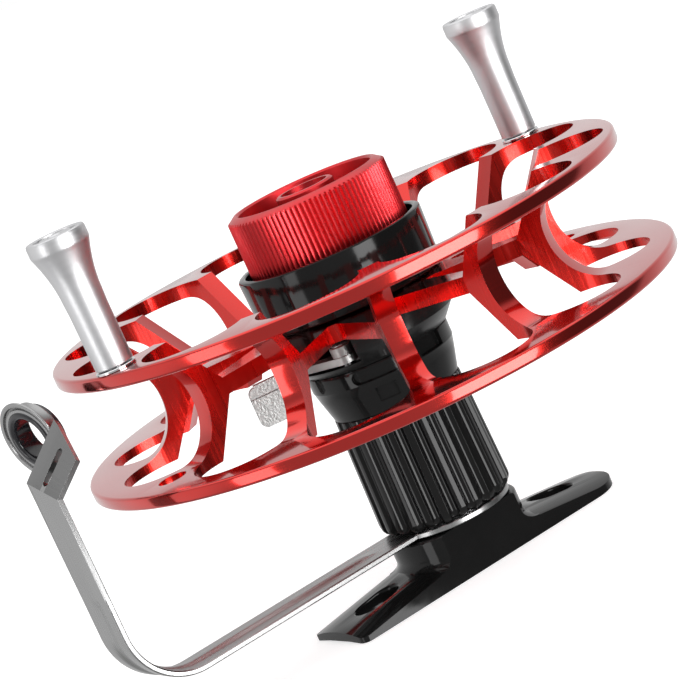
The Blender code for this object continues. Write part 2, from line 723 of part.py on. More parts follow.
def make_guide_ring():
    half = RING_DEPTH / 2
    inner = RING_R - RING_WALL
    profile = [(inner, -half), (RING_R - SEAT, -half), (RING_R, -half + SEAT), (RING_R, half - SEAT),
               (RING_R - SEAT, half), (inner, half)]
    ring = moved(lathe(profile, ROUND_SEGMENTS), ring_frame())
    top, low = -SHEET - SEAT, -SHEET - SEAT - LEG_THICK
    sections = []
    for fold in (LEG_REACH, LEG_WIDTH / 2):
        sections.append([head_point(fold, LEG_PLACE + side * LEG_WIDTH / 2, height)
                         for side, height in ((-1, top), (1, top), (1, low), (-1, low))])
    place = ring_frame()
    middle = inner + RING_WALL / 2
    toward = (place.inverted() @ head_point(0, LEG_PLACE, top)).to_2d().to_3d().normalized()
    side = toward.cross(Vector((0, 0, 1)))
    end = [toward * (middle + r * LEG_THICK / 4) + side * t * LEG_WIDTH / 2 for t, r in ((1, 1), (-1, 1), (-1, -1), (1, -1))]
    sections.append([place @ point for point in end])
    leg = stack(sections)
    piece("guide_ring_frame", combine(ring, leg, "UNION", "MANIFOLD"), STEEL)
    outer = inner - SEAT
    half = INSERT_DEPTH / 2
    lip = (outer - INSERT_BORE_R) / 2
    profile = [(INSERT_BORE_R, -half / 2), (INSERT_BORE_R + lip / 2, -half), (outer - lip / 2, -half),
               (outer, -half / 2), (outer, half / 2), (outer - lip / 2, half), (INSERT_BORE_R + lip / 2, half),
               (INSERT_BORE_R, half / 2)]
    piece("guide_ring_insert", moved(lathe(profile, ROUND_SEGMENTS), ring_frame()), DARK)


def make_clamp_washer():
    body = tube(STEM_TUBE_R + SEAT, CLAMP_WASHER_R, WASHER_Z, WASHER_Z + CLAMP_WASHER_THICK, FINE_SEGMENTS)
    piece("clamp_washer", body, STEEL)


def fluted(radius, z):
    """The sleeve's fluted outline at one height."""
    points = []
    for i in range(FLUTE_COUNT):
        pitch = 360 / FLUTE_COUNT
        land = pitch * (1 - FLUTE_SHARE) / 2
        points.append(upright(polar(radius, i * pitch - land), z))
        points.append(upright(polar(radius, i * pitch + land), z))
        points.append(upright(polar(radius - FLUTE_DEPTH, i * pitch + land + pitch * FLUTE_SHARE / 4), z))
        points.append(upright(polar(radius - FLUTE_DEPTH, (i + 1) * pitch - land - pitch * FLUTE_SHARE / 4), z))
    return points


def make_sleeve():
    top = SLEEVE_Z + SLEEVE_LENGTH
    rings = [fluted(SLEEVE_FOOT_R - SLEEVE_CHAMFER, SLEEVE_Z), fluted(SLEEVE_FOOT_R, SLEEVE_Z + SLEEVE_CHAMFER),
             fluted(SLEEVE_TOP_R, top - SLEEVE_CHAMFER), fluted(SLEEVE_TOP_R - SLEEVE_CHAMFER, top)]
    bore = rod(STEM_TUBE_R + SEAT, SLEEVE_Z - OVERCUT, top + OVERCUT, FINE_SEGMENTS)
    piece("sleeve_nut", cut(stack(rings), bore), BLACK)


def make_stem():
    profile = [(SPINDLE_R + SEAT, PEDESTAL_TOP + SEAT), (STEM_TUBE_R, PEDESTAL_TOP + SEAT), (STEM_TUBE_R, STEM_Z),
               (STEM_FOOT_R, STEM_Z), (STEM_MID_R, STEM_Z + STEM_MID), (STEM_NECK_R, STEM_Z + STEM_NECK),
               (STEM_BAND_R, STEM_Z + STEM_BAND), (STEM_BAND_R, STEM_Z + STEM_LENGTH),
               (SPINDLE_R + SEAT, STEM_Z + STEM_LENGTH)]
    body = lathe(profile, FINE_SEGMENTS)
    top = STEM_Z + STEM_LENGTH
    deep = STEM_BAND_R - RECESS_DEPTH
    outer = STEM_BAND_R + OVERCUT
    low = top - LOW_RECESS_DROP
    recesses = [sector(deep, outer, *WIDE_RECESS_AZ, top - WIDE_RECESS, top - RECESS_EDGE, 4),
                sector(deep, outer, *SIDE_RECESS_AZ, top - SIDE_RECESS, top + OVERCUT, 3),
                sector(STEM_NECK_R - RECESS_DEPTH, outer, *LOW_RECESS_AZ, low - LOW_RECESS, low, 3)]
    piece("stem", cut(body, *recesses), BLACK)


def make_stem_housing():
    floor = PAN_Z + PAN_FLOOR
    slope = (PAN_RIM_R - PAN_FOOT_R) / PAN_HEIGHT
    inner_floor = PAN_FOOT_R + slope * PAN_FLOOR - PAN_WALL
    profile = [(SPINDLE_R + SEAT, PAN_Z), (PAN_FOOT_R, PAN_Z), (PAN_RIM_R, PAN_TOP_Z),
               (PAN_RIM_R - PAN_WALL, PAN_TOP_Z), (inner_floor, floor), (SPINDLE_R + SEAT, floor)]
    body = lathe(profile, FINE_SEGMENTS)
    pin = polar(PAWL_PIVOT_R, PAWL_PIVOT_AZ)
    body = join(body, rod(PAWL_BOSS_R, PAN_Z + PAN_FLOOR / 2, PAN_TOP_Z, SMALL_SEGMENTS, pin))
    pivot = polar(LEVER_PIVOT_R, LEVER_PIVOT_AZ)
    window = sector(PAN_FOOT_R - PAN_WALL, PAN_RIM_R + OVERCUT, WINDOW_FROM, WINDOW_TO, floor, PAN_TOP_Z + OVERCUT, 8)
    pin_hole = rod(PAWL_PIN_R + SEAT, floor, PAN_TOP_Z + OVERCUT, TINY_SEGMENTS, pin)
    screw_hole = rod(LEVER_SCREW_R + SEAT / 2, floor - LEVER_SCREW_BITE - SEAT / 2, floor + RUN, TINY_SEGMENTS, pivot)
    piece("stem_housing", cut(cut(body, window, pin_hole), screw_hole), DARK)


def make_click_lever():
    pivot = polar(LEVER_PIVOT_R, LEVER_PIVOT_AZ)
    out = polar(1, PADDLE_AZ)
    side = Vector((-out.y, out.x))
    half = LEVER_THICK / 2
    top = LEVER_Z + LEVER_THICK
    root = [out * r + side * t for r, t in ((PADDLE_IN_R, -half), (PADDLE_OUT_R - PADDLE_CORNER, -half),
                                            (PADDLE_OUT_R - PADDLE_CORNER, half), (PADDLE_IN_R, half))]
    plate = hull([rod(LEVER_BOSS_R, LEVER_Z, top, SMALL_SEGMENTS, pivot), prism(root, LEVER_Z, top)])
    boss = rod(LEVER_BOSS_R, LEVER_Z, LEVER_Z + LEVER_BOSS, SMALL_SEGMENTS, pivot)
    high = LEVER_Z + PADDLE_RISE
    low = LEVER_Z - PADDLE_DROP
    outline = [Vector((PADDLE_IN_R, high)), Vector((PADDLE_IN_R, low + PADDLE_CORNER))]
    outline += arc((PADDLE_IN_R + PADDLE_CORNER, low + PADDLE_CORNER), PADDLE_CORNER, 180, 270, 4)[1:]
    outline += arc((PADDLE_OUT_R - PADDLE_CORNER, low + PADDLE_CORNER), PADDLE_CORNER, 270, 360, 4)
    outline += arc((PADDLE_OUT_R - PADDLE_CORNER, high - PADDLE_CORNER), PADDLE_CORNER, 0, 90, 4)
    paddle = stack([[upright(out * p.x + side * t, p.y) for p in outline] for t in (-half, half)])
    body = join(plate, boss, paddle)
    hole = lathe([(0, LEVER_Z - OVERCUT), (LEVER_SCREW_R + SEAT, LEVER_Z - OVERCUT),
                  (LEVER_SCREW_R + SEAT, LEVER_Z + LEVER_BOSS - LEVER_SCREW_HEAD - SEAT),
                  (LEVER_SCREW_HEAD_R + RUN, LEVER_Z + LEVER_BOSS - LEVER_SCREW_HEAD - SEAT),
                  (LEVER_SCREW_HEAD_R + RUN, LEVER_Z + LEVER_BOSS + OVERCUT), (0, LEVER_Z + LEVER_BOSS + OVERCUT)],
                 SMALL_SEGMENTS, pivot)
    piece("click_lever", cut(body, hole), CAST, upright(pivot, 0))
    low = LEVER_Z - SEAT - LEVER_SCREW_BITE
    seat = LEVER_Z + LEVER_BOSS - LEVER_SCREW_HEAD
    screw = lathe([(0, low), (LEVER_SCREW_R, low), (LEVER_SCREW_R, seat), (LEVER_SCREW_HEAD_R, seat),
                   (LEVER_SCREW_HEAD_R, seat + LEVER_SCREW_HEAD), (0, seat + LEVER_SCREW_HEAD)], SMALL_SEGMENTS, pivot)
    piece("lever_screw", screw, STEEL, upright(pivot, 0))


def make_pawl():
    pin = polar(PAWL_PIVOT_R, PAWL_PIVOT_AZ)
    gear_z = WEB_TOP_Z - WEB_THICK - SEAT - GEAR_THICK
    low = gear_z + (GEAR_THICK - PAWL_THICK) / 2
    tip = polar(GEAR_R + SEAT + PAWL_TIP_R, PAWL_TIP_AZ)
    body = hull([rod(PAWL_HUB_R, low, low + PAWL_THICK, SMALL_SEGMENTS, pin), rod(PAWL_TIP_R, low, low + PAWL_THICK, TINY_SEGMENTS, tip)])
    hole = rod(PAWL_PIN_R + SEAT, low - OVERCUT, low + PAWL_THICK + OVERCUT, TINY_SEGMENTS, pin)
    piece("click_pawl", cut(body, hole), STEEL, upright(pin, 0))
    body = rod(PAWL_PIN_R, LEVER_Z, low + PAWL_THICK, TINY_SEGMENTS, pin)
    piece("pawl_pin", body, STEEL, upright(pin, 0))
    points = coil(PAWL_SPRING_R, PAWL_SPRING_WIRE_R, PAN_TOP_Z + SEAT, low - SEAT, PAWL_SPRING_TURNS, pin)
    wire_piece("pawl_spring", points, PAWL_SPRING_WIRE_R, STEEL, upright(pin, 0))


def make_click_gear():
    low = WEB_TOP_Z - WEB_THICK - SEAT - GEAR_THICK
    outline = []
    for i in range(2 * GEAR_TEETH):
        radius = GEAR_R if i % 2 == 0 else GEAR_R - GEAR_TOOTH
        outline.append(polar(radius, 180 * i / GEAR_TEETH))
    bore = rod(spigot_r() + SEAT, low - OVERCUT, low + GEAR_THICK + OVERCUT, ROUND_SEGMENTS)
    piece("click_gear", cut(prism(outline, low, low + GEAR_THICK), bore), STEEL)


def race(edge, wall, low, segments):
    """A bearing ring between its shoulder and its wall, with a round groove for the balls."""
    pitch = (RACE_IN_R + RACE_OUT_R) / 2
    groove = BALL_R + RUN
    sign = 1 if wall > edge else -1
    start = math.degrees(math.acos(abs(edge - pitch) / groove))
    middle = low + BEARING_WIDTH / 2
    points = [(wall, low), (edge, low)]
    for i in range(RACE_STEPS + 1):
        angle = math.radians(-start + 2 * start * i / RACE_STEPS)
        points.append((pitch + sign * groove * math.cos(angle), middle + groove * math.sin(angle)))
    points += [(edge, low + BEARING_WIDTH), (wall, low + BEARING_WIDTH)]
    return lathe(points, segments)


def make_bearing(name, low):
    piece(name + "_outer", race(RACE_OUT_R, BEARING_R, low, ROUND_SEGMENTS), STEEL)
    piece(name + "_inner", race(RACE_IN_R, SPINDLE_R + SEAT, low, ROUND_SEGMENTS), STEEL)
    balls = []
    for i in range(BALL_COUNT):
        place = polar((RACE_IN_R + RACE_OUT_R) / 2, 360 * i / BALL_COUNT)
        ball = bmesh.new()
        spot = Matrix.Translation(upright(place, low + BEARING_WIDTH / 2))
        bmesh.ops.create_icosphere(ball, subdivisions=2, radius=BALL_R, matrix=spot)
        balls.append(ball)
    pitch = (RACE_IN_R + RACE_OUT_R) / 2
    middle = low + BEARING_WIDTH / 2
    cage = tube(pitch - CAGE_WALL / 2, pitch + CAGE_WALL / 2, middle - CAGE_HEIGHT / 2, middle + CAGE_HEIGHT / 2, ROUND_SEGMENTS)
    piece(name + "_balls", combine(cage, gather(balls), "UNION"), STEEL)


def make_bearing_spacer():
    body = tube(SPINDLE_R + SEAT, SPINDLE_R + SEAT + SPACER_WALL, SPACER_Z, SPACER_Z + BEARING_STEP, ROUND_SEGMENTS)
    piece("bearing_spacer", body, STEEL)


def spigot_r():
    """Outer radius of the collar's spigot."""
    return BEARING_R + SEAT + SPIGOT_WALL


def spool_profile():
    """The spool's turned section, flanges, groove, throat and hub disc."""
    low, high = SPOOL_Z, FLANGE_TOP_Z
    web_low = WEB_TOP_Z - WEB_THICK
    middle = (low + high + FLANGE_THICK - UPPER_FLANGE_THICK) / 2
    centre_r = GROOVE_R + GROOVE_FILLET
    bore = spigot_r() + SEAT
    edge = FLANGE_EDGE
    points = [(bore, web_low), (THROAT_R, web_low), (MOUTH_R, low), (FLANGE_R - edge, low), (FLANGE_R, low + edge),
              (FLANGE_R, low + FLANGE_THICK - edge), (FLANGE_R - edge, low + FLANGE_THICK),
              (FLANGE_SWELL_R, low + FLANGE_THICK + FLANGE_SWELL)]
    floor_half = (high - low - UPPER_FLANGE_THICK - FLANGE_THICK) / 2 - 2 * FLANGE_SWELL - GROOVE_FILLET
    for i in range(GROOVE_STEPS + 1):
        angle = math.radians(90 * i / GROOVE_STEPS)
        points.append((centre_r - GROOVE_FILLET * math.sin(angle),
                       middle - floor_half - GROOVE_FILLET * math.cos(angle)))
    for i in range(GROOVE_STEPS + 1):
        angle = math.radians(90 * (1 - i / GROOVE_STEPS))
        points.append((centre_r - GROOVE_FILLET * math.sin(angle),
                       middle + floor_half + GROOVE_FILLET * math.cos(angle)))
    points += [(FLANGE_SWELL_R, high - UPPER_FLANGE_THICK - FLANGE_SWELL),
               (UPPER_FLANGE_R - edge, high - UPPER_FLANGE_THICK), (UPPER_FLANGE_R, high - UPPER_FLANGE_THICK + edge),
               (UPPER_FLANGE_R, high - edge), (UPPER_FLANGE_R - edge, high), (MOUTH_R, high),
               (THROAT_R, WEB_TOP_Z), (bore, WEB_TOP_Z)]
    return points


def pocket_outline(azimuth):
    """One pocket between two ribs: a round outer end, and a saw-tooth slot into the web."""
    half_pitch = 180 / RIB_COUNT
    first, last = polar(1, azimuth - half_pitch), polar(1, azimuth + half_pitch)
    first_side = Vector((-first.y, first.x)) * RIB_HALF
    last_side = Vector((-last.y, last.x)) * RIB_HALF
    radius = POCKET_CENTRE_R * math.sin(math.radians(half_pitch)) - RIB_HALF
    turn = 90 + half_pitch
    round_end = arc(polar(POCKET_CENTRE_R, azimuth), radius, azimuth - turn, azimuth + turn, POCKET_SEGMENTS)
    outline = [first * SLOT_IN_R + first_side] + round_end
    outline += [last * SLOT_OUT_R - last_side, polar(SLOT_IN_R, azimuth - half_pitch + SLOT_IN_AZ)]
    return outline


def make_spool():
    low, high = SPOOL_Z - OVERCUT, FLANGE_TOP_Z + OVERCUT
    body = lathe(spool_profile(), SPOOL_SEGMENTS, phase=math.radians(RIB_AZ))
    pitch = 360 / RIB_COUNT
    pockets = [prism(pocket_outline(RIB_AZ + pitch * (i + 0.5)), low, high) for i in range(RIB_COUNT)]
    holes = []
    for place in handle_places():
        head = HANDLE_BOTTOM_Z
        seat = AXLE_HEAD_R + SEAT
        holes.append(lathe([(0, head - 2 * OVERCUT), (seat, head - 2 * OVERCUT), (seat, head),
                            (AXLE_R + SEAT, head + AXLE_HEAD), (AXLE_R + SEAT, high), (0, high)], SMALL_SEGMENTS, place))
        access = place.normalized() * ACCESS_R
        holes.append(rod(ACCESS_HOLE_R, low, SPOOL_Z + FLANGE_THICK + 2 * FLANGE_SWELL + OVERCUT, SMALL_SEGMENTS, access))
    piece("spool", cut(body, *pockets, *holes), RED)


def handle_places():
    """Plan places of the two handles, on opposite ribs."""
    return [polar(HANDLE_R, RIB_AZ), polar(HANDLE_R, RIB_AZ + 180)]


def make_hub_collar():
    bearing = BEARING_R + SEAT
    floor = COLLAR_Z + COLLAR_FLOOR
    top = COLLAR_Z + COLLAR_HEIGHT
    edge = COLLAR_EDGE
    upper_stop = UPPER_BEARING_Z - SEAT
    profile = [(bearing, SPIGOT_Z), (spigot_r(), SPIGOT_Z), (spigot_r(), COLLAR_Z), (COLLAR_SKIRT_R - edge, COLLAR_Z),
               (COLLAR_SKIRT_R, COLLAR_Z + edge), (COLLAR_SKIRT_R, COLLAR_Z + COLLAR_SKIRT),
               (COLLAR_R, COLLAR_Z + COLLAR_SKIRT), (COLLAR_R, top - edge), (COLLAR_R - edge, top),
               (COLLAR_CUP_R, top), (COLLAR_CUP_R, floor), (bearing, floor), (bearing, upper_stop),
               (BEARING_STOP_R, upper_stop), (BEARING_STOP_R, SPACER_Z), (bearing, SPACER_Z)]
    piece("hub_collar", lathe(profile, FINE_SEGMENTS), BLACK)


def make_drag():
    disc = tube(DRAG_DISC_IN_R, DRAG_DISC_R, DISC_Z, DISC_Z + DRAG_DISC, ROUND_SEGMENTS)
    piece("drag_disc", disc, FELT)
    plate = tube(SPINDLE_R + SEAT, DRAG_DISC_R - SEAT, PLATE_Z, PLATE_Z + DRAG_PLATE, ROUND_SEGMENTS)
    piece("drag_plate", plate, STEEL)
    points = coil(SPRING_R, SPRING_WIRE_R, SPRING_Z, SPRING_Z + SPRING_HEIGHT, SPRING_TURNS)
    wire_piece("drag_spring", points, SPRING_WIRE_R, STEEL, (0, 0, 0))


def knurled(radius, z):
    """The knob's ribbed outline at one height."""
    points = []
    for i in range(2 * KNURL_COUNT):
        points.append(upright(polar(radius - KNURL_DEPTH * (i % 2), 180 * i / KNURL_COUNT), z))
    return points


def make_knob():
    side_top = KNOB_Z + KNOB_SIDE
    rings = [knurled(KNOB_R, KNOB_Z), knurled(KNOB_R, side_top),
             [upright(polar(KNOB_SHOULDER_R, 180 * i / KNURL_COUNT), KNOB_TOP_Z) for i in range(2 * KNURL_COUNT)]]
    bowl_z = KNOB_TOP_Z - KNOB_BOWL
    over = KNOB_TOP_Z + OVERCUT
    bowl = lathe([(KNOB_BOSS_R, bowl_z), (KNOB_BOWL_R, bowl_z), (KNOB_BOWL_LIP_R, KNOB_TOP_Z),
                  (KNOB_BOWL_LIP_R, over), (KNOB_BOSS_R, over)], FINE_SEGMENTS)
    recess = tube(KNOB_BOSS_R, KNOB_RECESS_R, KNOB_Z - OVERCUT, KNOB_Z + KNOB_RECESS, ROUND_SEGMENTS)
    head = SPINDLE_SCREW_HEAD_R + SEAT
    bore = lathe([(0, KNOB_Z - OVERCUT), (SPINDLE_R + SEAT, KNOB_Z - OVERCUT), (SPINDLE_R + SEAT, SPINDLE_TOP_Z),
                  (head, SPINDLE_TOP_Z), (head, over), (0, over)], ROUND_SEGMENTS)
    piece("drag_knob", cut(stack(rings), bowl, recess, bore), RED)


def make_handle(number, place):
    bottom = HANDLE_BOTTOM_Z
    dish = GRIP_TOP_Z - GRIP_DISH
    axis = upright(place, 0)
    axle = lathe([(0, bottom), (AXLE_HEAD_R, bottom), (AXLE_R, bottom + AXLE_HEAD), (AXLE_R, dish), (0, dish)],
                 SMALL_SEGMENTS, place)
    piece("handle_axle_%d" % number, axle, STEEL, axis)
    washer = tube(AXLE_R + SEAT, HANDLE_WASHER_R, HANDLE_WASHER_Z, HANDLE_WASHER_Z + HANDLE_WASHER, SMALL_SEGMENTS, place)
    piece("handle_washer_%d" % number, washer, STEEL, axis)
    hole = AXLE_R + SEAT
    grip = lathe([(hole, GRIP_Z), (GRIP_FOOT_R, GRIP_Z), (GRIP_WAIST_R, GRIP_Z + GRIP_WAIST_FROM),
                  (GRIP_WAIST_R, GRIP_Z + GRIP_WAIST_TO), (GRIP_FLARE_R, GRIP_Z + GRIP_FLARE),
                  (GRIP_HEAD_R, GRIP_Z + GRIP_HEAD), (GRIP_HEAD_R - GRIP_EDGE, GRIP_TOP_Z),
                  (GRIP_DISH_R, GRIP_TOP_Z), (GRIP_DISH_R, dish), (hole, dish)], ROUND_SEGMENTS, place)
    piece("handle_grip_%d" % number, grip, SATIN, axis)
    cap = rod(CAP_R, dish + SEAT, dish + SEAT + CAP_THICK, SMALL_SEGMENTS, place)
    piece("handle_cap_%d" % number, cap, SATIN, axis)


def main():
    clear_objects()
    make_foot()
    make_spindle()
    make_stem()
    make_stem_housing()
    make_clamp_washer()
    make_sleeve()
    make_guide_arm()
    make_guide_ring()
    make_click_lever()
    make_pawl()
    make_click_gear()
    make_bearing("lower_bearing", LOWER_BEARING_Z)
    make_bearing("upper_bearing", UPPER_BEARING_Z)
    make_bearing_spacer()
    make_spool()
    make_hub_collar()
    make_drag()
    make_knob()
    make_spindle_screw()
    for number, place in enumerate(handle_places(), 1):
        make_handle(number, place)


main()
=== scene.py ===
"""The wheel reel, dressed: fine shapes over the frame, finishes, floor, light and camera."""
import math

import bmesh
import bpy
from mathutils import Matrix, Vector


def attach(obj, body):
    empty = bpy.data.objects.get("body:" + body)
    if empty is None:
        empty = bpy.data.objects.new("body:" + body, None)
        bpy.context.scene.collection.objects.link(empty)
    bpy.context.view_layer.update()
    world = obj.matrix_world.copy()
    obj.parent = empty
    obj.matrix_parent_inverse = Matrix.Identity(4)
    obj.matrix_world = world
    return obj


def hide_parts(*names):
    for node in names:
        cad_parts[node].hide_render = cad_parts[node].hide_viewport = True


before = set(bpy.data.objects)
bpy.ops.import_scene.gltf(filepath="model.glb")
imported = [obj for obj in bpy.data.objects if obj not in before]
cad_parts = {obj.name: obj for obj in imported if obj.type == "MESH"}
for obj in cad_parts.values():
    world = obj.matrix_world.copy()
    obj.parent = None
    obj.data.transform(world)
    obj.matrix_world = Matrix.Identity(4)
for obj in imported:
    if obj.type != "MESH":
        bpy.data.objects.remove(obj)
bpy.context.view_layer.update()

MM = 0.001
MERGE = 0.001 * MM

# Steps round a turned shape, from the spool down to a screw's hole
SPOOL_STEPS, BODY_STEPS, FINE, RING_STEPS, ROUND, BOSS_STEPS, HOLE_STEPS = 240, 160, 128, 96, 64, 48, 32


# Shapes

def polar(radius, degrees):
    """A point in plan, from its radius and azimuth."""
    angle = math.radians(degrees)
    return Vector((radius * math.cos(angle), radius * math.sin(angle)))


def upright(plan, z):
    """A point in plan, lifted to a height."""
    return Vector((plan[0], plan[1], z))


def arc(centre, radius, start, end, steps):
    """Points along an arc, with both its ends."""
    return [Vector(centre) + polar(radius, start + (end - start) * i / steps) for i in range(steps + 1)]


def lathe(profile, segments=FINE, centre=(0, 0)):
    """Turn a closed outline of (radius, height) points, in millimetres, about a vertical axis."""
    bm = bmesh.new()
    verts = [bm.verts.new((r * MM, 0, z * MM)) for r, z in profile]
    for first, second in zip(verts, verts[1:] + verts[:1]):
        bm.edges.new((first, second))
    bmesh.ops.spin(bm, geom=bm.verts[:] + bm.edges[:], cent=(0, 0, 0), axis=(0, 0, 1), angle=2 * math.pi,
                   steps=segments, use_merge=True)
    bmesh.ops.remove_doubles(bm, verts=bm.verts, dist=MERGE)
    bmesh.ops.dissolve_degenerate(bm, edges=bm.edges, dist=MERGE)
    bmesh.ops.translate(bm, vec=(centre[0] * MM, centre[1] * MM, 0), verts=bm.verts)
    bmesh.ops.recalc_face_normals(bm, faces=bm.faces)
    return bm


def stack(rings):
    """Extrude an outline through a row of outlines, in millimetres, with the same number of points."""
    bm = bmesh.new()
    face = bm.faces.new([bm.verts.new(Vector(point) * MM) for point in rings[0]])
    for level, ring in enumerate(rings[1:]):
        grown = bmesh.ops.extrude_face_region(bm, geom=[face])["geom"]
        if level:
            bmesh.ops.delete(bm, geom=[face], context="FACES_ONLY")
        face = next(item for item in grown if isinstance(item, bmesh.types.BMFace))
        for vert, point in zip(face.verts, ring):
            vert.co = Vector(point) * MM
    bmesh.ops.recalc_face_normals(bm, faces=bm.faces)
    return bm


def prism(outline, low, high):
    """An outline in plan, drawn up between two heights."""
    return stack([[upright(point, z) for point in outline] for z in (low, high)])


def sector(inner, outer, start, end, low, high, steps=12):
    """A block between two radii, two azimuths and two heights."""
    return prism(arc((0, 0), outer, start, end, steps) + arc((0, 0), inner, end, start, steps), low, high)


def gather(bodies):
    """Several bodies side by side in one mesh."""
    together = bmesh.new()
    for body in bodies:
        mesh = bpy.data.meshes.new("gathered")
        body.to_mesh(mesh)
        body.free()
        together.from_mesh(mesh)
        bpy.data.meshes.remove(mesh)
    return together


def loose_object(bm):
    mesh = bpy.data.meshes.new("loose")
    bm.to_mesh(mesh)
    bm.free()
    obj = bpy.data.objects.new("loose", mesh)
    bpy.context.scene.collection.objects.link(obj)
    return obj


def evaluated(obj):
    """The object's mesh with its modifiers applied; the object goes."""
    graph = bpy.context.evaluated_depsgraph_get()
    mesh = bpy.data.meshes.new_from_object(obj.evaluated_get(graph))
    result = bmesh.new()
    result.from_mesh(mesh)
    spare = obj.data
    bpy.data.objects.remove(obj)
    bpy.data.meshes.remove(spare)
    bpy.data.meshes.remove(mesh)
    return result


def combine(base, tool, operation, solver="EXACT"):
    """One body joined to, cut by or kept within another."""
    kept, used = loose_object(base), loose_object(tool)
    modifier = kept.modifiers.new("combine", "BOOLEAN")
    modifier.operation = operation
    modifier.solver = solver
    modifier.object = used
    result = evaluated(kept)
    spare = used.data
    bpy.data.objects.remove(used)
    bpy.data.meshes.remove(spare)
    bmesh.ops.remove_doubles(result, verts=result.verts, dist=MERGE)
    bmesh.ops.dissolve_degenerate(result, edges=result.edges, dist=MERGE)
    return result


def cut(base, *tools):
    return combine(base, gather(tools), "DIFFERENCE")


def join(base, *others):
    for other in others:
        base = combine(base, other, "UNION")
    return base


def moved(bm, matrix):
    """A body put in its place, with its faces outwards."""
    bmesh.ops.transform(bm, matrix=matrix, verts=bm.verts)
    bmesh.ops.recalc_face_normals(bm, faces=bm.faces)
    return bm


def marked(bm, index):
    """Give every face of a body the same material place."""
    for face in bm.faces:
        face.material_index = index
    return bm


SHARP_ANGLE = 35.0


def piece(name, bm, materials, body, nodes, bevel=0.0, steps=2, limit=30.0):
    """A finished piece: it rides on a body and stands for some of the frame's nodes."""
    mesh = bpy.data.meshes.new(name)
    bmesh.ops.recalc_face_normals(bm, faces=bm.faces)
    bm.to_mesh(mesh)
    bm.free()
    mesh.shade_smooth()
    mesh.set_sharp_from_angle(angle=math.radians(SHARP_ANGLE))
    for made in materials:
        mesh.materials.append(made)
    obj = bpy.data.objects.new(name, mesh)
    bpy.context.scene.collection.objects.link(obj)
    if bevel:
        modifier = obj.modifiers.new("edges", "BEVEL")
        modifier.width = bevel * MM
        modifier.segments = steps
        modifier.limit_method = "ANGLE"
        modifier.angle_limit = math.radians(limit)
        modifier.harden_normals = True
        modifier.use_clamp_overlap = True
    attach(obj, body)
    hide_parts(*nodes)
    return obj


# Finishes

def add(tree, kind, **values):
    """A node with some of its sockets or settings given."""
    node = tree.nodes.new(kind)
    for key, value in values.items():
        if key in node.inputs:
            node.inputs[key].default_value = value
        else:
            setattr(node, key.lower().replace(" ", "_"), value)
    return node


def new_group(name, inputs, outputs):
    tree = bpy.data.node_groups.new(name, "ShaderNodeTree")
    for label, kind in inputs:
        tree.interface.new_socket(label, in_out="INPUT", socket_type=kind)
    for label, kind in outputs:
        tree.interface.new_socket(label, in_out="OUTPUT", socket_type=kind)
    return tree, tree.nodes.new("NodeGroupInput"), tree.nodes.new("NodeGroupOutput")


# The Mix node's vector sockets, which share their names with its other sockets
MIX_A, MIX_B, MIX_RESULT = 4, 5, 1


def make_grain_group():
    """Tool marks: noise drawn out along some axes, or run round the spindle, with a slow cloud over it."""
    tree, given, out = new_group("tool_marks", [("Scale", "NodeSocketFloat"), ("Stretch", "NodeSocketVector"),
                                                ("Turned", "NodeSocketFloat"), ("Low", "NodeSocketFloat"),
                                                ("High", "NodeSocketFloat")],
                                 [("Marks", "NodeSocketFloat"), ("Roughness", "NodeSocketFloat"),
                                  ("Cloud", "NodeSocketFloat")])
    link = tree.links.new
    place = tree.nodes.new("ShaderNodeTexCoord")
    stretched = add(tree, "ShaderNodeVectorMath", operation="MULTIPLY")
    link(place.outputs["Object"], stretched.inputs[0])
    link(given.outputs["Stretch"], stretched.inputs[1])
    flat = add(tree, "ShaderNodeVectorMath", operation="MULTIPLY")
    flat.inputs[1].default_value = (1, 1, 0)
    link(place.outputs["Object"], flat.inputs[0])
    radius = add(tree, "ShaderNodeVectorMath", operation="LENGTH")
    link(flat.outputs["Vector"], radius.inputs[0])
    parts = tree.nodes.new("ShaderNodeSeparateXYZ")
    link(place.outputs["Object"], parts.inputs[0])
    rings = tree.nodes.new("ShaderNodeCombineXYZ")
    link(radius.outputs["Value"], rings.inputs["X"])
    link(parts.outputs["Z"], rings.inputs["Y"])
    chosen = add(tree, "ShaderNodeMix", data_type="VECTOR")
    link(given.outputs["Turned"], chosen.inputs["Factor"])
    link(stretched.outputs["Vector"], chosen.inputs[MIX_A])
    link(rings.outputs["Vector"], chosen.inputs[MIX_B])
    marks = add(tree, "ShaderNodeTexNoise", Detail=3.0)
    link(given.outputs["Scale"], marks.inputs["Scale"])
    link(chosen.outputs[MIX_RESULT], marks.inputs["Vector"])
    cloud = add(tree, "ShaderNodeTexNoise", Scale=70.0, Detail=4.0)
    link(place.outputs["Object"], cloud.inputs["Vector"])
    both = add(tree, "ShaderNodeMath", operation="ADD")
    link(marks.outputs["Fac"], both.inputs[0])
    link(cloud.outputs["Fac"], both.inputs[1])
    spread = tree.nodes.new("ShaderNodeMapRange")
    spread.inputs["From Min"].default_value = 0.6
    spread.inputs["From Max"].default_value = 1.4
    link(both.outputs["Value"], spread.inputs["Value"])
    link(given.outputs["Low"], spread.inputs["To Min"])
    link(given.outputs["High"], spread.inputs["To Max"])
    link(marks.outputs["Fac"], out.inputs["Marks"])
    link(spread.outputs["Result"], out.inputs["Roughness"])
    link(cloud.outputs["Fac"], out.inputs["Cloud"])
    return tree


TOOL_MARKS = make_grain_group()


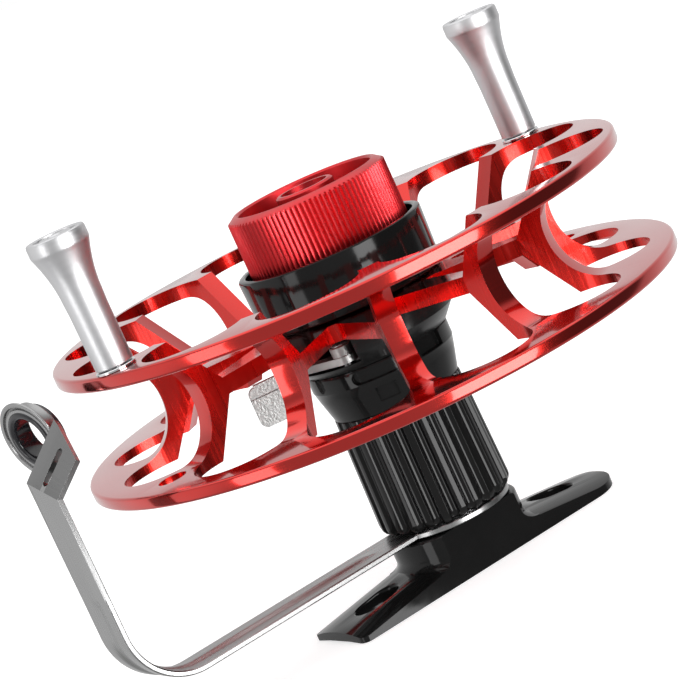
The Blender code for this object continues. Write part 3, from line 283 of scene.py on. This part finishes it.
def finish(name, colour, metallic, roughness, scale, stretch=(1, 1, 1), turned=0.0, depth=0.005, shade=0.12,
           gloss=0.5, coat=0.0):
    """A material with tool marks in its roughness and relief, and a slow cloud in its colour."""
    made = bpy.data.materials.new(name)
    made.use_nodes = True
    tree = made.node_tree
    link = tree.links.new
    shader = tree.nodes["Principled BSDF"]
    shader.inputs["Metallic"].default_value = metallic
    shader.inputs["Specular IOR Level"].default_value = gloss
    shader.inputs["Coat Weight"].default_value = coat
    shader.inputs["Coat Roughness"].default_value = 0.06
    marks = tree.nodes.new("ShaderNodeGroup")
    marks.node_tree = TOOL_MARKS
    marks.inputs["Scale"].default_value = scale
    marks.inputs["Stretch"].default_value = stretch
    marks.inputs["Turned"].default_value = turned
    marks.inputs["Low"].default_value, marks.inputs["High"].default_value = roughness
    link(marks.outputs["Roughness"], shader.inputs["Roughness"])
    tint = tree.nodes.new("ShaderNodeMix")
    tint.data_type = "RGBA"
    tint.inputs["A"].default_value = (*(c * (1 - shade) for c in colour), 1)
    tint.inputs["B"].default_value = (*(min(c * (1 + shade), 1) for c in colour), 1)
    link(marks.outputs["Cloud"], tint.inputs["Factor"])
    link(tint.outputs["Result"], shader.inputs["Base Color"])
    bump = tree.nodes.new("ShaderNodeBump")
    bump.inputs["Distance"].default_value = depth * MM
    link(marks.outputs["Marks"], bump.inputs["Height"])
    link(bump.outputs["Normal"], shader.inputs["Normal"])
    return made


RED_COLOUR = (0.6, 0.022, 0.016)
UPRIGHT_LINES = (1, 1, 0.02)

RED = finish("anodised_red_turned", RED_COLOUR, 1, (0.10, 0.17), 2600, turned=1, depth=0.0015, coat=0.8)
RED_MILLED = finish("anodised_red_milled", RED_COLOUR, 1, (0.2, 0.34), 1100, UPRIGHT_LINES, depth=0.05,
                    coat=0.25)
RED_KNURL = finish("anodised_red_knurl", (0.58, 0.032, 0.038), 1, (0.34, 0.46), 1500, depth=0.004, coat=0.2)
BLACK = finish("gloss_black_anodised", (0.004, 0.004, 0.004), 0, (0.06, 0.12), 500, depth=0.003, gloss=0.23)
BLACK_CAST = finish("gloss_black_enamel", (0.005, 0.005, 0.005), 0, (0.05, 0.11), 700, depth=0.0015,
                    gloss=0.2)
BLACK_SATIN = finish("satin_black", (0.006, 0.006, 0.006), 0, (0.16, 0.26), 700, depth=0.004, gloss=0.25)
CERAMIC = finish("dark_ceramic", (0.012, 0.012, 0.014), 0, (0.08, 0.15), 500, depth=0.002, gloss=0.5)
STEEL = finish("turned_steel", (0.45, 0.45, 0.46), 1, (0.2, 0.34), 2200, turned=1, depth=0.003)
BRIGHT = finish("bright_steel", (0.72, 0.72, 0.73), 1, (0.1, 0.18), 2200, turned=1, depth=0.002)
SHEET = finish("brushed_stainless", (0.34, 0.34, 0.34), 1, (0.22, 0.34), 2600, (0.03, 1, 0.03), depth=0.004)
# The head is the same brushed steel as the strip, painted darker: painted shade for the darker room that the
# head mirrors
SHADED_HEAD_STEEL = finish("brushed_stainless_head_painted_shade", (0.2, 0.2, 0.2), 1, (0.22, 0.38), 2600, (1, 0.03, 0.03),
                    depth=0.008)
SATIN = finish("satin_aluminium", (0.62, 0.62, 0.63), 1, (0.36, 0.48), 2400, (0.05, 0.05, 1), depth=0.004)
CAST = finish("cast_zinc", (0.36, 0.36, 0.355), 1, (0.3, 0.5), 2400, depth=0.07, shade=0.3)
FELT = finish("felt", (0.02, 0.02, 0.02), 0, (0.9, 1.0), 3000, depth=0.05)

# The frame's solids that stay in sight are steel, but for the friction washer
for name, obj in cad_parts.items():
    obj.data.materials.clear()
    obj.data.materials.append(FELT if name == "drag_disc" else STEEL)


# Spool

RIB_AZ, RIBS, RIB_HALF = 7.5, 12, 1.65
SPOOL_LOW, SPOOL_TOP = 34.5, 55.4
POCKET_R = 38
GRIP_R, ACCESS_R = 44.7, 44.0


def rounded(r0, z0, radius, start, end, steps=4):
    """An outline's edge, rounded between two angles."""
    return [tuple(point) for point in arc((r0, z0), radius, start, end, steps)]


def spool_outline():
    """A thin lower flange with a deeper rim, the line groove, the upper flange, and the web."""
    low, high, web_low, web_high = SPOOL_LOW, SPOOL_TOP, 43.7, 46.4
    points = [(7.9, web_low), (29.6, web_low), (35.65, 35.3), (46.9, 35.3), (47.3, low)]
    points += rounded(49.5, low + 0.5, 0.5, -90, 0)
    points += rounded(49.5, low + 1.65, 0.5, 0, 90)
    for start, middle, height in ((270, 44.95, 8.1), (180, 45.4, 7.6)):
        for i in range(17):
            side = polar(1, start - 90 * i / 16)
            points.append((40.7 + 6.7 * side.x, middle + height * side.y))
    points += [(46.2, 53.1)]
    points += rounded(47.3, 53.6, 0.5, -90, 0)
    points += rounded(47.3, 54.9, 0.5, 0, 90)
    return points + [(36.1, high), (29.6, web_high), (7.9, web_high)]


def pocket(azimuth):
    """A pocket's plan between two ribs: a round outer end, and a slanted slot into the web."""
    half_pitch = 180 / RIBS
    first, last = polar(1, azimuth - half_pitch), polar(1, azimuth + half_pitch)
    first_side = Vector((-first.y, first.x)) * RIB_HALF
    last_side = Vector((-last.y, last.x)) * RIB_HALF
    radius = POCKET_R * math.sin(math.radians(half_pitch)) - RIB_HALF
    turn = 90 + half_pitch
    outline = [first * 17 + first_side]
    outline += arc(polar(POCKET_R, azimuth), radius, azimuth - turn, azimuth + turn, 48)
    return outline + [last * 29.5 - last_side, polar(17, azimuth - half_pitch + 10.5)]


def make_spool():
    """The turned spool with its pockets, the holes for the grips' screws, and the holes that reach them."""
    pitch = 360 / RIBS
    tools = [marked(prism(pocket(RIB_AZ + pitch * (i + 0.5)), 33, 57), 1) for i in range(RIBS)]
    screw_hole = [(0, 50), (2.8, 50), (2.8, 53.3), (1.9, 54.2), (1.9, 57), (0, 57)]
    access_hole = [(0, 33), (2.3, 33), (2.3, 39), (0, 39)]
    for side in (0, 180):
        for hole, radius in ((screw_hole, GRIP_R), (access_hole, ACCESS_R)):
            tools.append(marked(lathe(hole, BOSS_STEPS, polar(radius, RIB_AZ + side)), 1))
    body = lathe(spool_outline(), SPOOL_STEPS)
    piece("machined_spool", cut(body, *tools), [RED, RED_MILLED], "spool_body", ["spool"], 0.15)


# Knob

KNURLS, KNURL_DEPTH = 96, 0.45


def make_knob():
    """The knurled rim, the bowl round its boss, and the recess and bore below."""
    rings = []
    for z, radius, share in ((54.2, 12.9, 0.4), (54.6, 13.3, 1), (64.75, 13.3, 1), (65.0, 12.95, 0.12),
                             (65.05, 12.85, 0), (65.6, 12.05, 0)):
        ring = []
        for i in range(KNURLS * 4):
            dip = (0.0, 0.25, 1.0, 0.25)[i % 4]
            ring.append(upright(polar(radius - KNURL_DEPTH * share * dip, 90 * i / KNURLS), z))
        rings.append(ring)
    bowl = lathe([(4.8, 60), (10.7, 60), (11.0, 60.3), (11.3, 65.3), (11.6, 65.62), (11.6, 67), (4.4, 67),
                  (4.4, 65.62), (4.8, 65.3)])
    recess = lathe([(4.8, 53), (10, 53), (10, 58), (4.8, 58)])
    bore = lathe([(0, 53), (3.3, 53), (3.3, 62.4), (3.9, 62.4), (3.9, 67), (0, 67)], ROUND)
    piece("knurled_knob", cut(stack(rings), bowl, recess, bore), [RED_KNURL], "knob_body", ["drag_knob"])


# Grips and their fittings

def make_grips():
    """Two grips, each with its screw, its washer and its end cap."""
    grip = [(1.9, 56.0), (2.8, 56.0), (3.0, 56.2), (3.02, 61), (3.05, 65), (3.15, 67.2)]
    grip += [(3.15 + 1.45 * t ** 1.9, 67.2 + 7.7 * t) for t in (0.15, 0.3, 0.45, 0.6, 0.75, 0.9, 1)]
    grip += [(4.66, 75.05), (4.72, 75.3), (4.72, 76.8), (4.62, 77.15), (4.45, 77.28), (3.65, 77.28),
             (3.45, 77.15), (3.4, 76.9), (3.4, 76.2), (1.9, 76.2)]
    screw = [(0, 53.2), (2.7, 53.2), (1.8, 54.15), (1.8, 76.5), (0, 76.5)]
    washer = [(1.9, 55.42), (3.1, 55.42), (3.2, 55.5), (3.2, 55.75), (3.1, 55.85), (1.9, 55.85)]
    cap = [(0, 76.5), (2.7, 76.5), (2.7, 76.9), (2.5, 77.1), (1.2, 77.1), (1.0, 76.9), (0, 76.9)]
    for number, side in ((1, 0), (2, 180)):
        place = polar(GRIP_R, RIB_AZ + side)
        for name, profile, steps, material, body, node in (
                ("grip_screw", screw, ROUND, STEEL, "spool_body", "handle_axle"),
                ("turned_grip", grip, FINE, SATIN, "grip_%d_body" % number, "handle_grip"),
                ("washer", washer, ROUND, BRIGHT, "spool_body", "handle_washer"),
                ("grip_cap", cap, ROUND, SATIN, "spool_body", "handle_cap")):
            piece("%s_%d" % (name, number), lathe(profile, steps, place), [material], body,
                  ["%s_%d" % (node, number)])


# Foot

SLOT_X, SLOT_LENGTH, SLOT_WIDTH, LEAD_IN = 18.3, 8, 5.5, 0.5


def wing_height(x):
    """The wings' top over the rod's line, thinner towards the ends."""
    return 3.5 - 2.1 * (abs(x) - 11) / 17


def wing_section(x):
    """The wings' outline across the rod at one place, crowned on top and channelled below."""
    lanes = [9 * math.sin(math.radians(90 * i / 14)) for i in range(-14, 15)]
    top = [Vector((x, y, wing_height(x) - (y / 8) ** 2)) for y in lanes]
    return top + [Vector((x, 9, -0.3)), Vector((x, 3, 0)), Vector((x, -3, 0)), Vector((x, -9, -0.3))]


def foot_plan():
    """The foot's plan, rounded at one end and squared at the other."""
    outline = arc((21.5, 1.5), 6.5, 0, 90, 16) + arc((-25.6, 6.5), 1.5, 90, 180, 6)
    return outline + arc((-25.6, -6.5), 1.5, 180, 270, 6) + arc((21.5, -1.5), 6.5, 270, 360, 16)


def obround(centre, length, width):
    """A slot's plan, with round ends."""
    shift = (length - width) / 2
    return arc((centre + shift, 0), width / 2, -90, 90, 20) + arc((centre - shift, 0), width / 2, 90, 270, 20)


def foot_slot(side):
    """A slot through a wing, its rim opened out in a rounded lead-in."""
    def plan(grow):
        return obround(side * SLOT_X, SLOT_LENGTH + grow, SLOT_WIDTH + grow)

    rings = [[upright(point, -1) for point in plan(0)]]
    for angle in (0, 30, 60, 90):
        grow = 2 * LEAD_IN * (1 - math.cos(math.radians(angle)))
        lift = LEAD_IN * (math.sin(math.radians(angle)) - 1)
        rings.append([upright(point, wing_height(point.x) + lift) for point in plan(grow)])
    return stack(rings + [[upright(point, 8) for point in plan(2 * LEAD_IN)]])


def make_foot():
    """The wings with the pedestal on them, bored for the stem and slotted."""
    cove = [tuple(point) for point in arc((13, 4.7), 2, 270, 180, 10)]
    boss = lathe([(0, 0.7), (13, 0.7)] + cove + rounded(10.5, 7.6, 0.5, 0, 90, 5) + [(0, 8.1)])
    body = join(stack([wing_section(x) for x in (-29, 0, 29)]), boss)
    body = combine(body, prism(foot_plan(), -1, 9), "INTERSECT")
    bore = lathe([(0, 2.5), (3.3, 2.5), (3.3, 9), (0, 9)], ROUND)
    piece("cast_foot", cut(body, bore, foot_slot(-1), foot_slot(1)), [BLACK_CAST], "reel_seat", ["foot"],
          0.3, 3, limit=34)


# Stem, sleeve and click housing

FLUTES, FIRST_FLUTE_AZ = 24, 222.5


def make_sleeve():
    """A nut with round-bottomed flutes between narrow lands, and the washer inside its mouth."""
    pitch = 360 / FLUTES
    rings = []
    for z, inset in ((9.55, 1.3), (9.65, 0.85), (9.95, 0.4), (10.45, 0.1), (11.0, 0), (29.3, 0), (29.5, 0.05),
                     (29.6, 0.2)):
        # It narrows by 0.35 mm in every 13.5 mm of its height
        radius = 11.15 - 0.35 * (z - 10.9) / 13.5 - inset
        ring = []
        for i in range(FLUTES):
            for share, sink in ((-0.20, 0), (-0.10, -0.03), (0, -0.04), (0.10, -0.03), (0.20, 0), (0.27, 0.34),
                                (0.38, 0.6), (0.5, 0.68), (0.62, 0.6), (0.73, 0.34)):
                ring.append(upright(polar(radius - sink, FIRST_FLUTE_AZ + (i + share) * pitch), z))
        rings.append(ring)
    bore = lathe([(0, 9), (8.3, 9), (8.3, 31), (0, 31)])
    seat = lathe([(0, 9), (9.3, 9), (9.3, 10.15), (0, 10.15)])
    body = cut(cut(stack(rings), bore), seat)
    piece("fluted_sleeve", body, [BLACK], "sleeve_body", ["sleeve_nut"], 0.1, limit=35)
    washer = [(8.3, 9.4), (9.0, 9.4), (9.1, 9.5), (9.1, 9.9), (9.0, 10.0), (8.3, 10.0)]
    piece("bright_washer", lathe(washer), [BRIGHT], "reel_seat", ["clamp_washer"])


def make_stem():
    """The post and its band, with the recesses in the band and one recess's rounded end."""
    profile = [(3.3, 8.4), (8, 8.4), (8, 29.7), (10.6, 29.7), (11.6, 33.5)]
    profile += rounded(11.8, 35.1, 0.2, -50, 0, 3) + rounded(11.9, 37.55, 0.1, 0, 90, 4) + [(3.3, 37.65)]
    out, up = polar(1, 219).to_3d(), Vector((0, 0, 1))
    across = Matrix((up, up.cross(out), out)).transposed().to_4x4()
    across.translation = (out * 11.2 + Vector((0, 0, 36.2))) * MM
    recesses = [sector(11.2, 13, 219, 253, 35.2, 37.2, 24), sector(11.2, 13, 271.5, 296.5, 35.2, 38.4, 16),
                sector(10.8, 13, 228, 245, 31.5, 33.9, 12)]
    rounded_end = moved(lathe([(0, 0.05), (0.98, 0.05), (0.98, 2), (0, 2)], HOLE_STEPS), across)
    body = cut(cut(lathe(profile, BODY_STEPS), *recesses), rounded_end)
    piece("black_stem", body, [BLACK], "reel_seat", ["stem"], 0.15, 3)


LEVER_PIVOT, LEVER_AZ = polar(10.6, 214), 156.5


def make_pan():
    """The open pan with its window, the seat of the pawl's pin and the hole for the lever's screw."""
    profile = [(3.3, 37.7), (11.9, 37.7), (12.1, 37.8), (14.3, 40.4)] + rounded(14.25, 43.0, 0.25, 0, 90)
    profile += [(13.75, 43.25), (13.55, 40.8), (11.9, 38.95), (11.7, 38.9), (3.3, 38.9)]
    pin = polar(12, 250)
    body = join(lathe(profile, BODY_STEPS), lathe([(0, 38.3), (1.6, 38.3), (1.6, 41), (0, 41)], ROUND, pin))
    window = sector(10.9, 16, 146, 229, 38.9, 44, 32)
    body = cut(body, window, lathe([(0, 38.9), (1, 38.9), (1, 42), (0, 42)], HOLE_STEPS, pin))
    screw_hole = lathe([(0, 37.85), (1.05, 37.85), (1.05, 39.05), (0, 39.05)], HOLE_STEPS, LEVER_PIVOT)
    piece("click_pan", cut(body, screw_hole), [BLACK_SATIN], "reel_seat", ["stem_housing"], 0.1)


# Hub collar

FLATS, FLAT_STEPS = 14, 16


def facets(flat, z, depth):
    """A round outline with soft flats all round."""
    points = []
    for i in range(FLATS * FLAT_STEPS):
        share = (i % FLAT_STEPS) / FLAT_STEPS
        lift = abs(2 * share - 1) ** 2.2
        points.append(upright(polar(flat + depth * lift, 360 * i / (FLATS * FLAT_STEPS)), z))
    return points


def make_collar():
    """The cup round the knob, notched below its flats, with a spigot down through the web."""
    rings = [facets(*ring) for ring in ((14.9, 46.7, 0.1), (15.1, 46.9, 0.12), (15.4, 55.7, 0.14),
                                        (15.3, 56.0, 0.12), (15.1, 56.1, 0.1))]
    cup = lathe([(0, 50.8), (14.25, 50.8), (14.25, 55.95), (14.4, 56.1), (14.4, 57), (0, 57)], BODY_STEPS)
    notches = [sector(14.5, 16.5, 360 * i / FLATS - 4, 360 * i / FLATS + 4, 46, 49.4, 4) for i in range(FLATS)]
    body = cut(stack(rings), cup, *notches)
    body = join(body, lathe([(6.0, 41.6), (7.6, 41.6), (7.6, 47), (6.0, 47)], ROUND))
    bore = lathe([(0, 41), (6.3, 41), (6.3, 51), (0, 51)], ROUND)
    piece("black_collar", cut(body, bore), [BLACK], "spool_body", ["hub_collar"], 0.08)


# Line guide

STRIP_HALF, STRIP_THICK = 4.2, 0.95
BEAD_HALF, BEAD_TOP, BEAD_SLOPE, BEAD_HEIGHT = 1.9, 0.5, 1.4, 0.45
BEND_R = 10.5
LEG_LIFT, LEG_HALF = 3.9, 0.8
HEAD_TILT = math.radians(43.3)

# The head's fold: its far end, and the ways along it, up the head and out of the head's face
FOLD = Vector((-61, STRIP_HALF, 45.1))
ALONG = Vector((0, 8.4, 2.9)).normalized()
AWAY = Vector((math.cos(HEAD_TILT), -ALONG.z * math.sin(HEAD_TILT), ALONG.y * math.sin(HEAD_TILT)))
FACE = AWAY.cross(ALONG)


def head_point(fold, lift, height):
    """A point of the head: back along the fold, up its face and out of it."""
    return FOLD - ALONG * fold + AWAY * lift + FACE * height


def arm_lanes():
    """Places across the strip, close together over the bead."""
    inner = [-BEAD_HALF + 2 * BEAD_HALF * i / 16 for i in range(17)]
    return [-STRIP_HALF, -4.0, -3.0] + inner + [3.0, 4.0, STRIP_HALF]


def bead_lift(y):
    """How far the bead is pressed in at a place across the strip."""
    if abs(y) >= BEAD_HALF:
        return 0
    return BEAD_HEIGHT * (0.5 + 0.5 * math.cos(math.pi * max(abs(y) - BEAD_TOP, 0) / BEAD_SLOPE))


def strip_section(outer, inward, strength):
    """The strip across Y at one place: its outer face, then its inner face."""
    outside, inside = [], []
    for y in arm_lanes():
        lift = bead_lift(y) * strength
        round_off = 0.2 if abs(y) > 4.1 else 0
        base = outer + Vector((0, y, 0))
        outside.append(base + inward * (lift + round_off))
        inside.append(base + inward * (STRIP_THICK + lift - round_off))
    return outside + inside[::-1]


def arm_sections():
    """The strip's outlines out from the eye, round the bend and up to the fold."""
    up = Vector((0, 0, 1))
    sections = []
    for x, strength in ((-9.4, 0), (-15, 0), (-15.8, 0.15), (-16.8, 0.5), (-17.8, 0.85), (-18.8, 1), (-30, 1),
                        (-42, 1)):
        sections.append(strip_section(Vector((x, 0, 8.4)), up, strength))
    for i in range(25):
        turn = math.radians(90 * i / 24)
        outer = Vector((-50.5 - BEND_R * math.sin(turn), 0, 18.9 - BEND_R * math.cos(turn)))
        sections.append(strip_section(outer, Vector((math.sin(turn), 0, math.cos(turn))), 1))
    for z, strength in ((23.6, 1), (24.4, 0.8), (25.2, 0.4), (26, 0)):
        sections.append(strip_section(Vector((-61, 0, z)), Vector((1, 0, 0)), strength))
    return sections


def head_sections():
    """The mitred fold, and the slanted end of the head with its raised edge."""
    inward = Vector((1, 0, 0))
    mitre = (inward - FACE) * STRIP_THICK / (1 - inward.dot(FACE))
    fold, end = [[], []], [[], []]
    for y in arm_lanes():
        back = (STRIP_HALF - y) / ALONG.y
        length = 10.3 - 3.8 * back * ALONG.y / 8.4
        lip = 0.25 * max(0, (y - 3.0) / 1.2)
        fold[0].append(head_point(back, 0, 0))
        fold[1].append(head_point(back, 0, 0) + mitre)
        end[0].append(head_point(back, length, lip))
        end[1].append(head_point(back, length, -STRIP_THICK + lip))
    return [fold[0] + fold[1][::-1], end[0] + end[1][::-1]]


def make_guide_arm():
    """The strip from its eye to its head, with the slot in the head."""
    strip = stack(arm_sections() + head_sections())
    eye = lathe([(8.3, 8.4), (10.1, 8.4), (10.25, 8.55), (10.25, 9.2), (10.1, 9.35), (8.3, 9.35)])
    slot = prism(arc((0, 6.3), 0.65, 0, 180, 12) + arc((0, 1.5), 0.65, 180, 360, 12), -2, 1.5)
    place = Matrix((ALONG, AWAY, FACE)).transposed().to_4x4()
    place.translation = head_point(4.4, 0, 0) * MM
    body = cut(join(strip, eye), moved(slot, place))
    # The head's faces take the darker copy of the steel, which is painted shade
    for face in body.faces:
        middle = face.calc_center_median()
        face.material_index = int(middle.x > -60 * MM and middle.z > 36 * MM)
    piece("pressed_guide_arm", body, [SHEET, SHADED_HEAD_STEEL], "reel_seat", ["guide_arm"], 0.1, 3, limit=40)


def ring_place():
    """Where the guide ring sits, set off from the head's fold."""
    yaw, pitch = math.radians(11), math.radians(5)
    axis = -Vector((math.cos(pitch) * math.cos(yaw), math.cos(pitch) * math.sin(yaw), math.sin(pitch)))
    centre = FOLD + Vector((6.5, 5.1, 4.6))
    return Matrix.Translation(centre * MM) @ axis.to_track_quat("Z", "Y").to_matrix().to_4x4()


def make_guide_ring():
    """The stamped ring with the leg under the head, and its hard insert."""
    profile = [(4.7, -1.3), (5.2, -1.3), (5.4, -1.1), (5.4, 0.1), (5.6, 0.45), (6.1, 0.6)]
    profile += rounded(6.2, 0.95, 0.25, -60, 100, 8)
    profile += [(5.75, 1.1), (5.6, 0.7), (5.35, 0.6), (5.2, 0.95), (4.7, 1.0)]
    place = ring_place()
    ring = moved(lathe(profile, RING_STEPS), place)
    corners = ((-1, -1), (0, -0.9), (1, -1), (1, -1.8), (0, -1.9), (-1, -1.8))
    sections = [[head_point(fold, LEG_LIFT + t * LEG_HALF, height) for t, height in corners]
                for fold in (6.0, 3.4, 0.8)]
    toward = (place.inverted() @ (head_point(0, LEG_LIFT, -1) * MM)).to_2d().to_3d().normalized()
    side = toward.cross(Vector((0, 0, 1)))
    end = []
    for t, r in ((1, 0.2), (0, 0.25), (-1, 0.2), (-1, -0.2), (0, -0.25), (1, -0.2)):
        point = place @ ((toward * (5.9 + r) + side * t * LEG_HALF) * MM)
        end.append(point / MM)
    sections.append(end)
    piece("stamped_guide_ring", combine(ring, stack(sections), "UNION", "MANIFOLD"), [SHEET], "reel_seat",
          ["guide_ring_frame"], 0.05)
    lip = rounded(4.1, -1.9, 0.55, 180, 360, 10) + rounded(4.2, 0.6, 0.7, 0, 180, 10)
    piece("ceramic_insert", moved(lathe(lip, RING_STEPS), place), [CERAMIC], "reel_seat", ["guide_ring_insert"])


# Click lever

def make_lever():
    """A cast lever: an arm from its pivot to an upright paddle outside the pan."""
    out = polar(1, LEVER_AZ)
    side = Vector((-out.y, out.x))
    arm = [out * r + side * t for r, t in ((16, 0.6), (16, -0.6), (20.2, -0.6), (20.2, 0.6))]
    boss_side = [LEVER_PIVOT + polar(2.1, LEVER_AZ + angle) for angle in range(60, 300, 15)]
    plate = prism([arm[3], arm[0]] + boss_side + [arm[1], arm[2]], 39.2, 40.4)
    boss = lathe([(0, 39.2), (1.85, 39.2), (1.85, 41.9), (1.7, 42.1), (0, 42.1)], BOSS_STEPS, LEVER_PIVOT)
    outline = [Vector((16, 40.1)), Vector((16, 34.7))] + arc((17.3, 34.7), 1.3, 180, 270, 8)[1:]
    outline += arc((20.15, 34.7), 1.3, 270, 360, 8) + arc((20.15, 38.8), 1.3, 0, 90, 8)
    paddle = stack([[upright(out * p.x + side * t, p.y) for p in outline] for t in (-0.6, 0.6)])
    body = join(plate, boss, paddle)
    corners = ((15.5, 38.3), (22, 38.3), (22, 38.8), (15.5, 38.8))
    groove = stack([[upright(out * r + side * t, z) for r, z in corners] for t in (0.2, 1.2)])
    screw_hole = [(0, 38), (1.2, 38), (1.2, 41.1), (1.65, 41.1), (1.65, 43), (0, 43)]
    body = cut(body, lathe(screw_hole, HOLE_STEPS, LEVER_PIVOT), groove)
    piece("cast_lever", body, [CAST], "lever_body", ["click_lever"], 0.2, 3)


# Floor, light and camera

VIEW_AZ = -118.5
PICTURE_WIDTH, FOCAL_PIXELS, SENSOR_WIDTH = 680, 2859.46, 36
FITTED_TURN = math.radians(28.5)
PANEL_AWAY, PANEL_HEIGHT = 1.5, 1.2
ROOM_BRIGHTNESS = 0.5
FLOOR_HALF, FLOOR_Z = 6.0, -0.3


def place_camera():
    """The camera, fitted in axes at the middle of the spool's top, turned a little from the frame's."""
    turn = Matrix(((0.91197021, -0.05936175, -0.40593905), (-0.41011564, -0.15783105, -0.89827308),
                   (-0.01074672, 0.98568024, -0.16828240)))
    shift = Vector((-1.570, -14.789, 447.5)) * MM
    turn = turn @ Matrix.Rotation(FITTED_TURN, 3, "Z")
    eye = -(turn.transposed() @ shift) + Vector((0, 0, SPOOL_TOP * MM))
    data = bpy.data.cameras.new("camera")
    data.sensor_width = SENSOR_WIDTH
    data.sensor_fit = "HORIZONTAL"
    data.lens = FOCAL_PIXELS * SENSOR_WIDTH / PICTURE_WIDTH
    data.clip_start = 0.01
    data.clip_end = 50
    obj = bpy.data.objects.new("camera", data)
    axes = Matrix((turn[0], -turn[1], -turn[2])).transposed()
    obj.matrix_world = Matrix.Translation(eye) @ axes.to_4x4()
    bpy.context.scene.collection.objects.link(obj)
    bpy.context.scene.camera = obj


def panel(name, turn, half_angle, brightness):
    """A soft panel to one side, at an azimuth from the camera's own and as wide as an angle."""
    width = 2 * PANEL_AWAY * math.tan(math.radians(half_angle))
    data = bpy.data.lights.new(name, "AREA")
    data.shape = "RECTANGLE"
    data.size, data.size_y = width, PANEL_HEIGHT
    data.energy = brightness * math.pi * width * PANEL_HEIGHT
    obj = bpy.data.objects.new(name, data)
    obj.location = upright(polar(PANEL_AWAY, VIEW_AZ + turn), 0)
    obj.rotation_euler = (-obj.location).to_track_quat("-Z", "Y").to_euler()
    obj.visible_camera = False
    bpy.context.scene.collection.objects.link(obj)


def set_world():
    """Pale surroundings with brighter and darker patches, that the camera itself sees as white."""
    world = bpy.data.worlds.new("studio")
    world.use_nodes = True
    tree = world.node_tree
    place = tree.nodes.new("ShaderNodeTexCoord")
    level = None
    # Behind the reel, overhead, dark on one side and light on the other: each fades in from its outer angle
    patches = ((upright(polar(1, VIEW_AZ + 180), 0), 75, 45, 0.75), (Vector((0, 0, 1)), 60, 35, 1.5),
               (upright(polar(1, VIEW_AZ + 80), 0), 34, 26, 0.1),
               (upright(polar(1, VIEW_AZ - 100), 0), 40, 15, 0.95))
    for direction, outer, inner, value in patches:
        facing = add(tree, "ShaderNodeVectorMath", operation="DOT_PRODUCT")
        facing.inputs[1].default_value = direction
        tree.links.new(place.outputs["Generated"], facing.inputs[0])
        mask = add(tree, "ShaderNodeMapRange", interpolation_type="SMOOTHSTEP")
        mask.inputs["From Min"].default_value = math.cos(math.radians(outer))
        mask.inputs["From Max"].default_value = math.cos(math.radians(inner))
        tree.links.new(facing.outputs["Value"], mask.inputs["Value"])
        mixed = tree.nodes.new("ShaderNodeMix")
        mixed.inputs["A"].default_value = ROOM_BRIGHTNESS
        mixed.inputs["B"].default_value = value
        tree.links.new(mask.outputs["Result"], mixed.inputs["Factor"])
        if level:
            tree.links.new(level, mixed.inputs["A"])
        level = mixed.outputs["Result"]
    rays = tree.nodes.new("ShaderNodeLightPath")
    seen = tree.nodes.new("ShaderNodeMix")
    seen.inputs["B"].default_value = 1.0
    tree.links.new(rays.outputs["Is Camera Ray"], seen.inputs["Factor"])
    tree.links.new(level, seen.inputs["A"])
    tree.links.new(seen.outputs["Result"], tree.nodes["Background"].inputs["Strength"])
    tree.nodes["Background"].inputs["Color"].default_value = (1, 1, 1, 1)
    bpy.context.scene.world = world


def floor_material():
    """A pale matt floor that the reel's gloss looks through, so its flanks mirror the room instead."""
    made = bpy.data.materials.new("pale_floor")
    made.use_nodes = True
    tree = made.node_tree
    shader = tree.nodes["Principled BSDF"]
    shader.inputs["Base Color"].default_value = (0.6, 0.6, 0.6, 1)
    shader.inputs["Emission Color"].default_value = (1, 1, 1, 1)
    shader.inputs["Emission Strength"].default_value = 0.65
    shader.inputs["Roughness"].default_value = 0.9
    shader.inputs["Specular IOR Level"].default_value = 0.0
    rays = tree.nodes.new("ShaderNodeLightPath")
    either = add(tree, "ShaderNodeMath", operation="MAXIMUM")
    tree.links.new(rays.outputs["Is Glossy Ray"], either.inputs[0])
    tree.links.new(rays.outputs["Is Shadow Ray"], either.inputs[1])
    mixed = tree.nodes.new("ShaderNodeMixShader")
    tree.links.new(either.outputs["Value"], mixed.inputs["Fac"])
    tree.links.new(shader.outputs["BSDF"], mixed.inputs[1])
    tree.links.new(tree.nodes.new("ShaderNodeBsdfTransparent").outputs["BSDF"], mixed.inputs[2])
    tree.links.new(mixed.outputs["Shader"], tree.nodes["Material Output"].inputs["Surface"])
    return made


def make_floor():
    bm = bmesh.new()
    bmesh.ops.create_grid(bm, x_segments=1, y_segments=1, size=FLOOR_HALF)
    mesh = bpy.data.meshes.new("floor")
    bm.to_mesh(mesh)
    bm.free()
    obj = bpy.data.objects.new("floor", mesh)
    obj.location.z = FLOOR_Z * MM
    mesh.materials.append(floor_material())
    bpy.context.scene.collection.objects.link(obj)


make_spool()
make_knob()
make_grips()
make_foot()
make_sleeve()
make_stem()
make_pan()
make_collar()
make_guide_arm()
make_guide_ring()
make_lever()
place_camera()
set_world()
make_floor()
panel("key", 34, 17, 8)
panel("side", -58, 8, 3)
bpy.context.scene.view_settings.view_transform = "Standard"
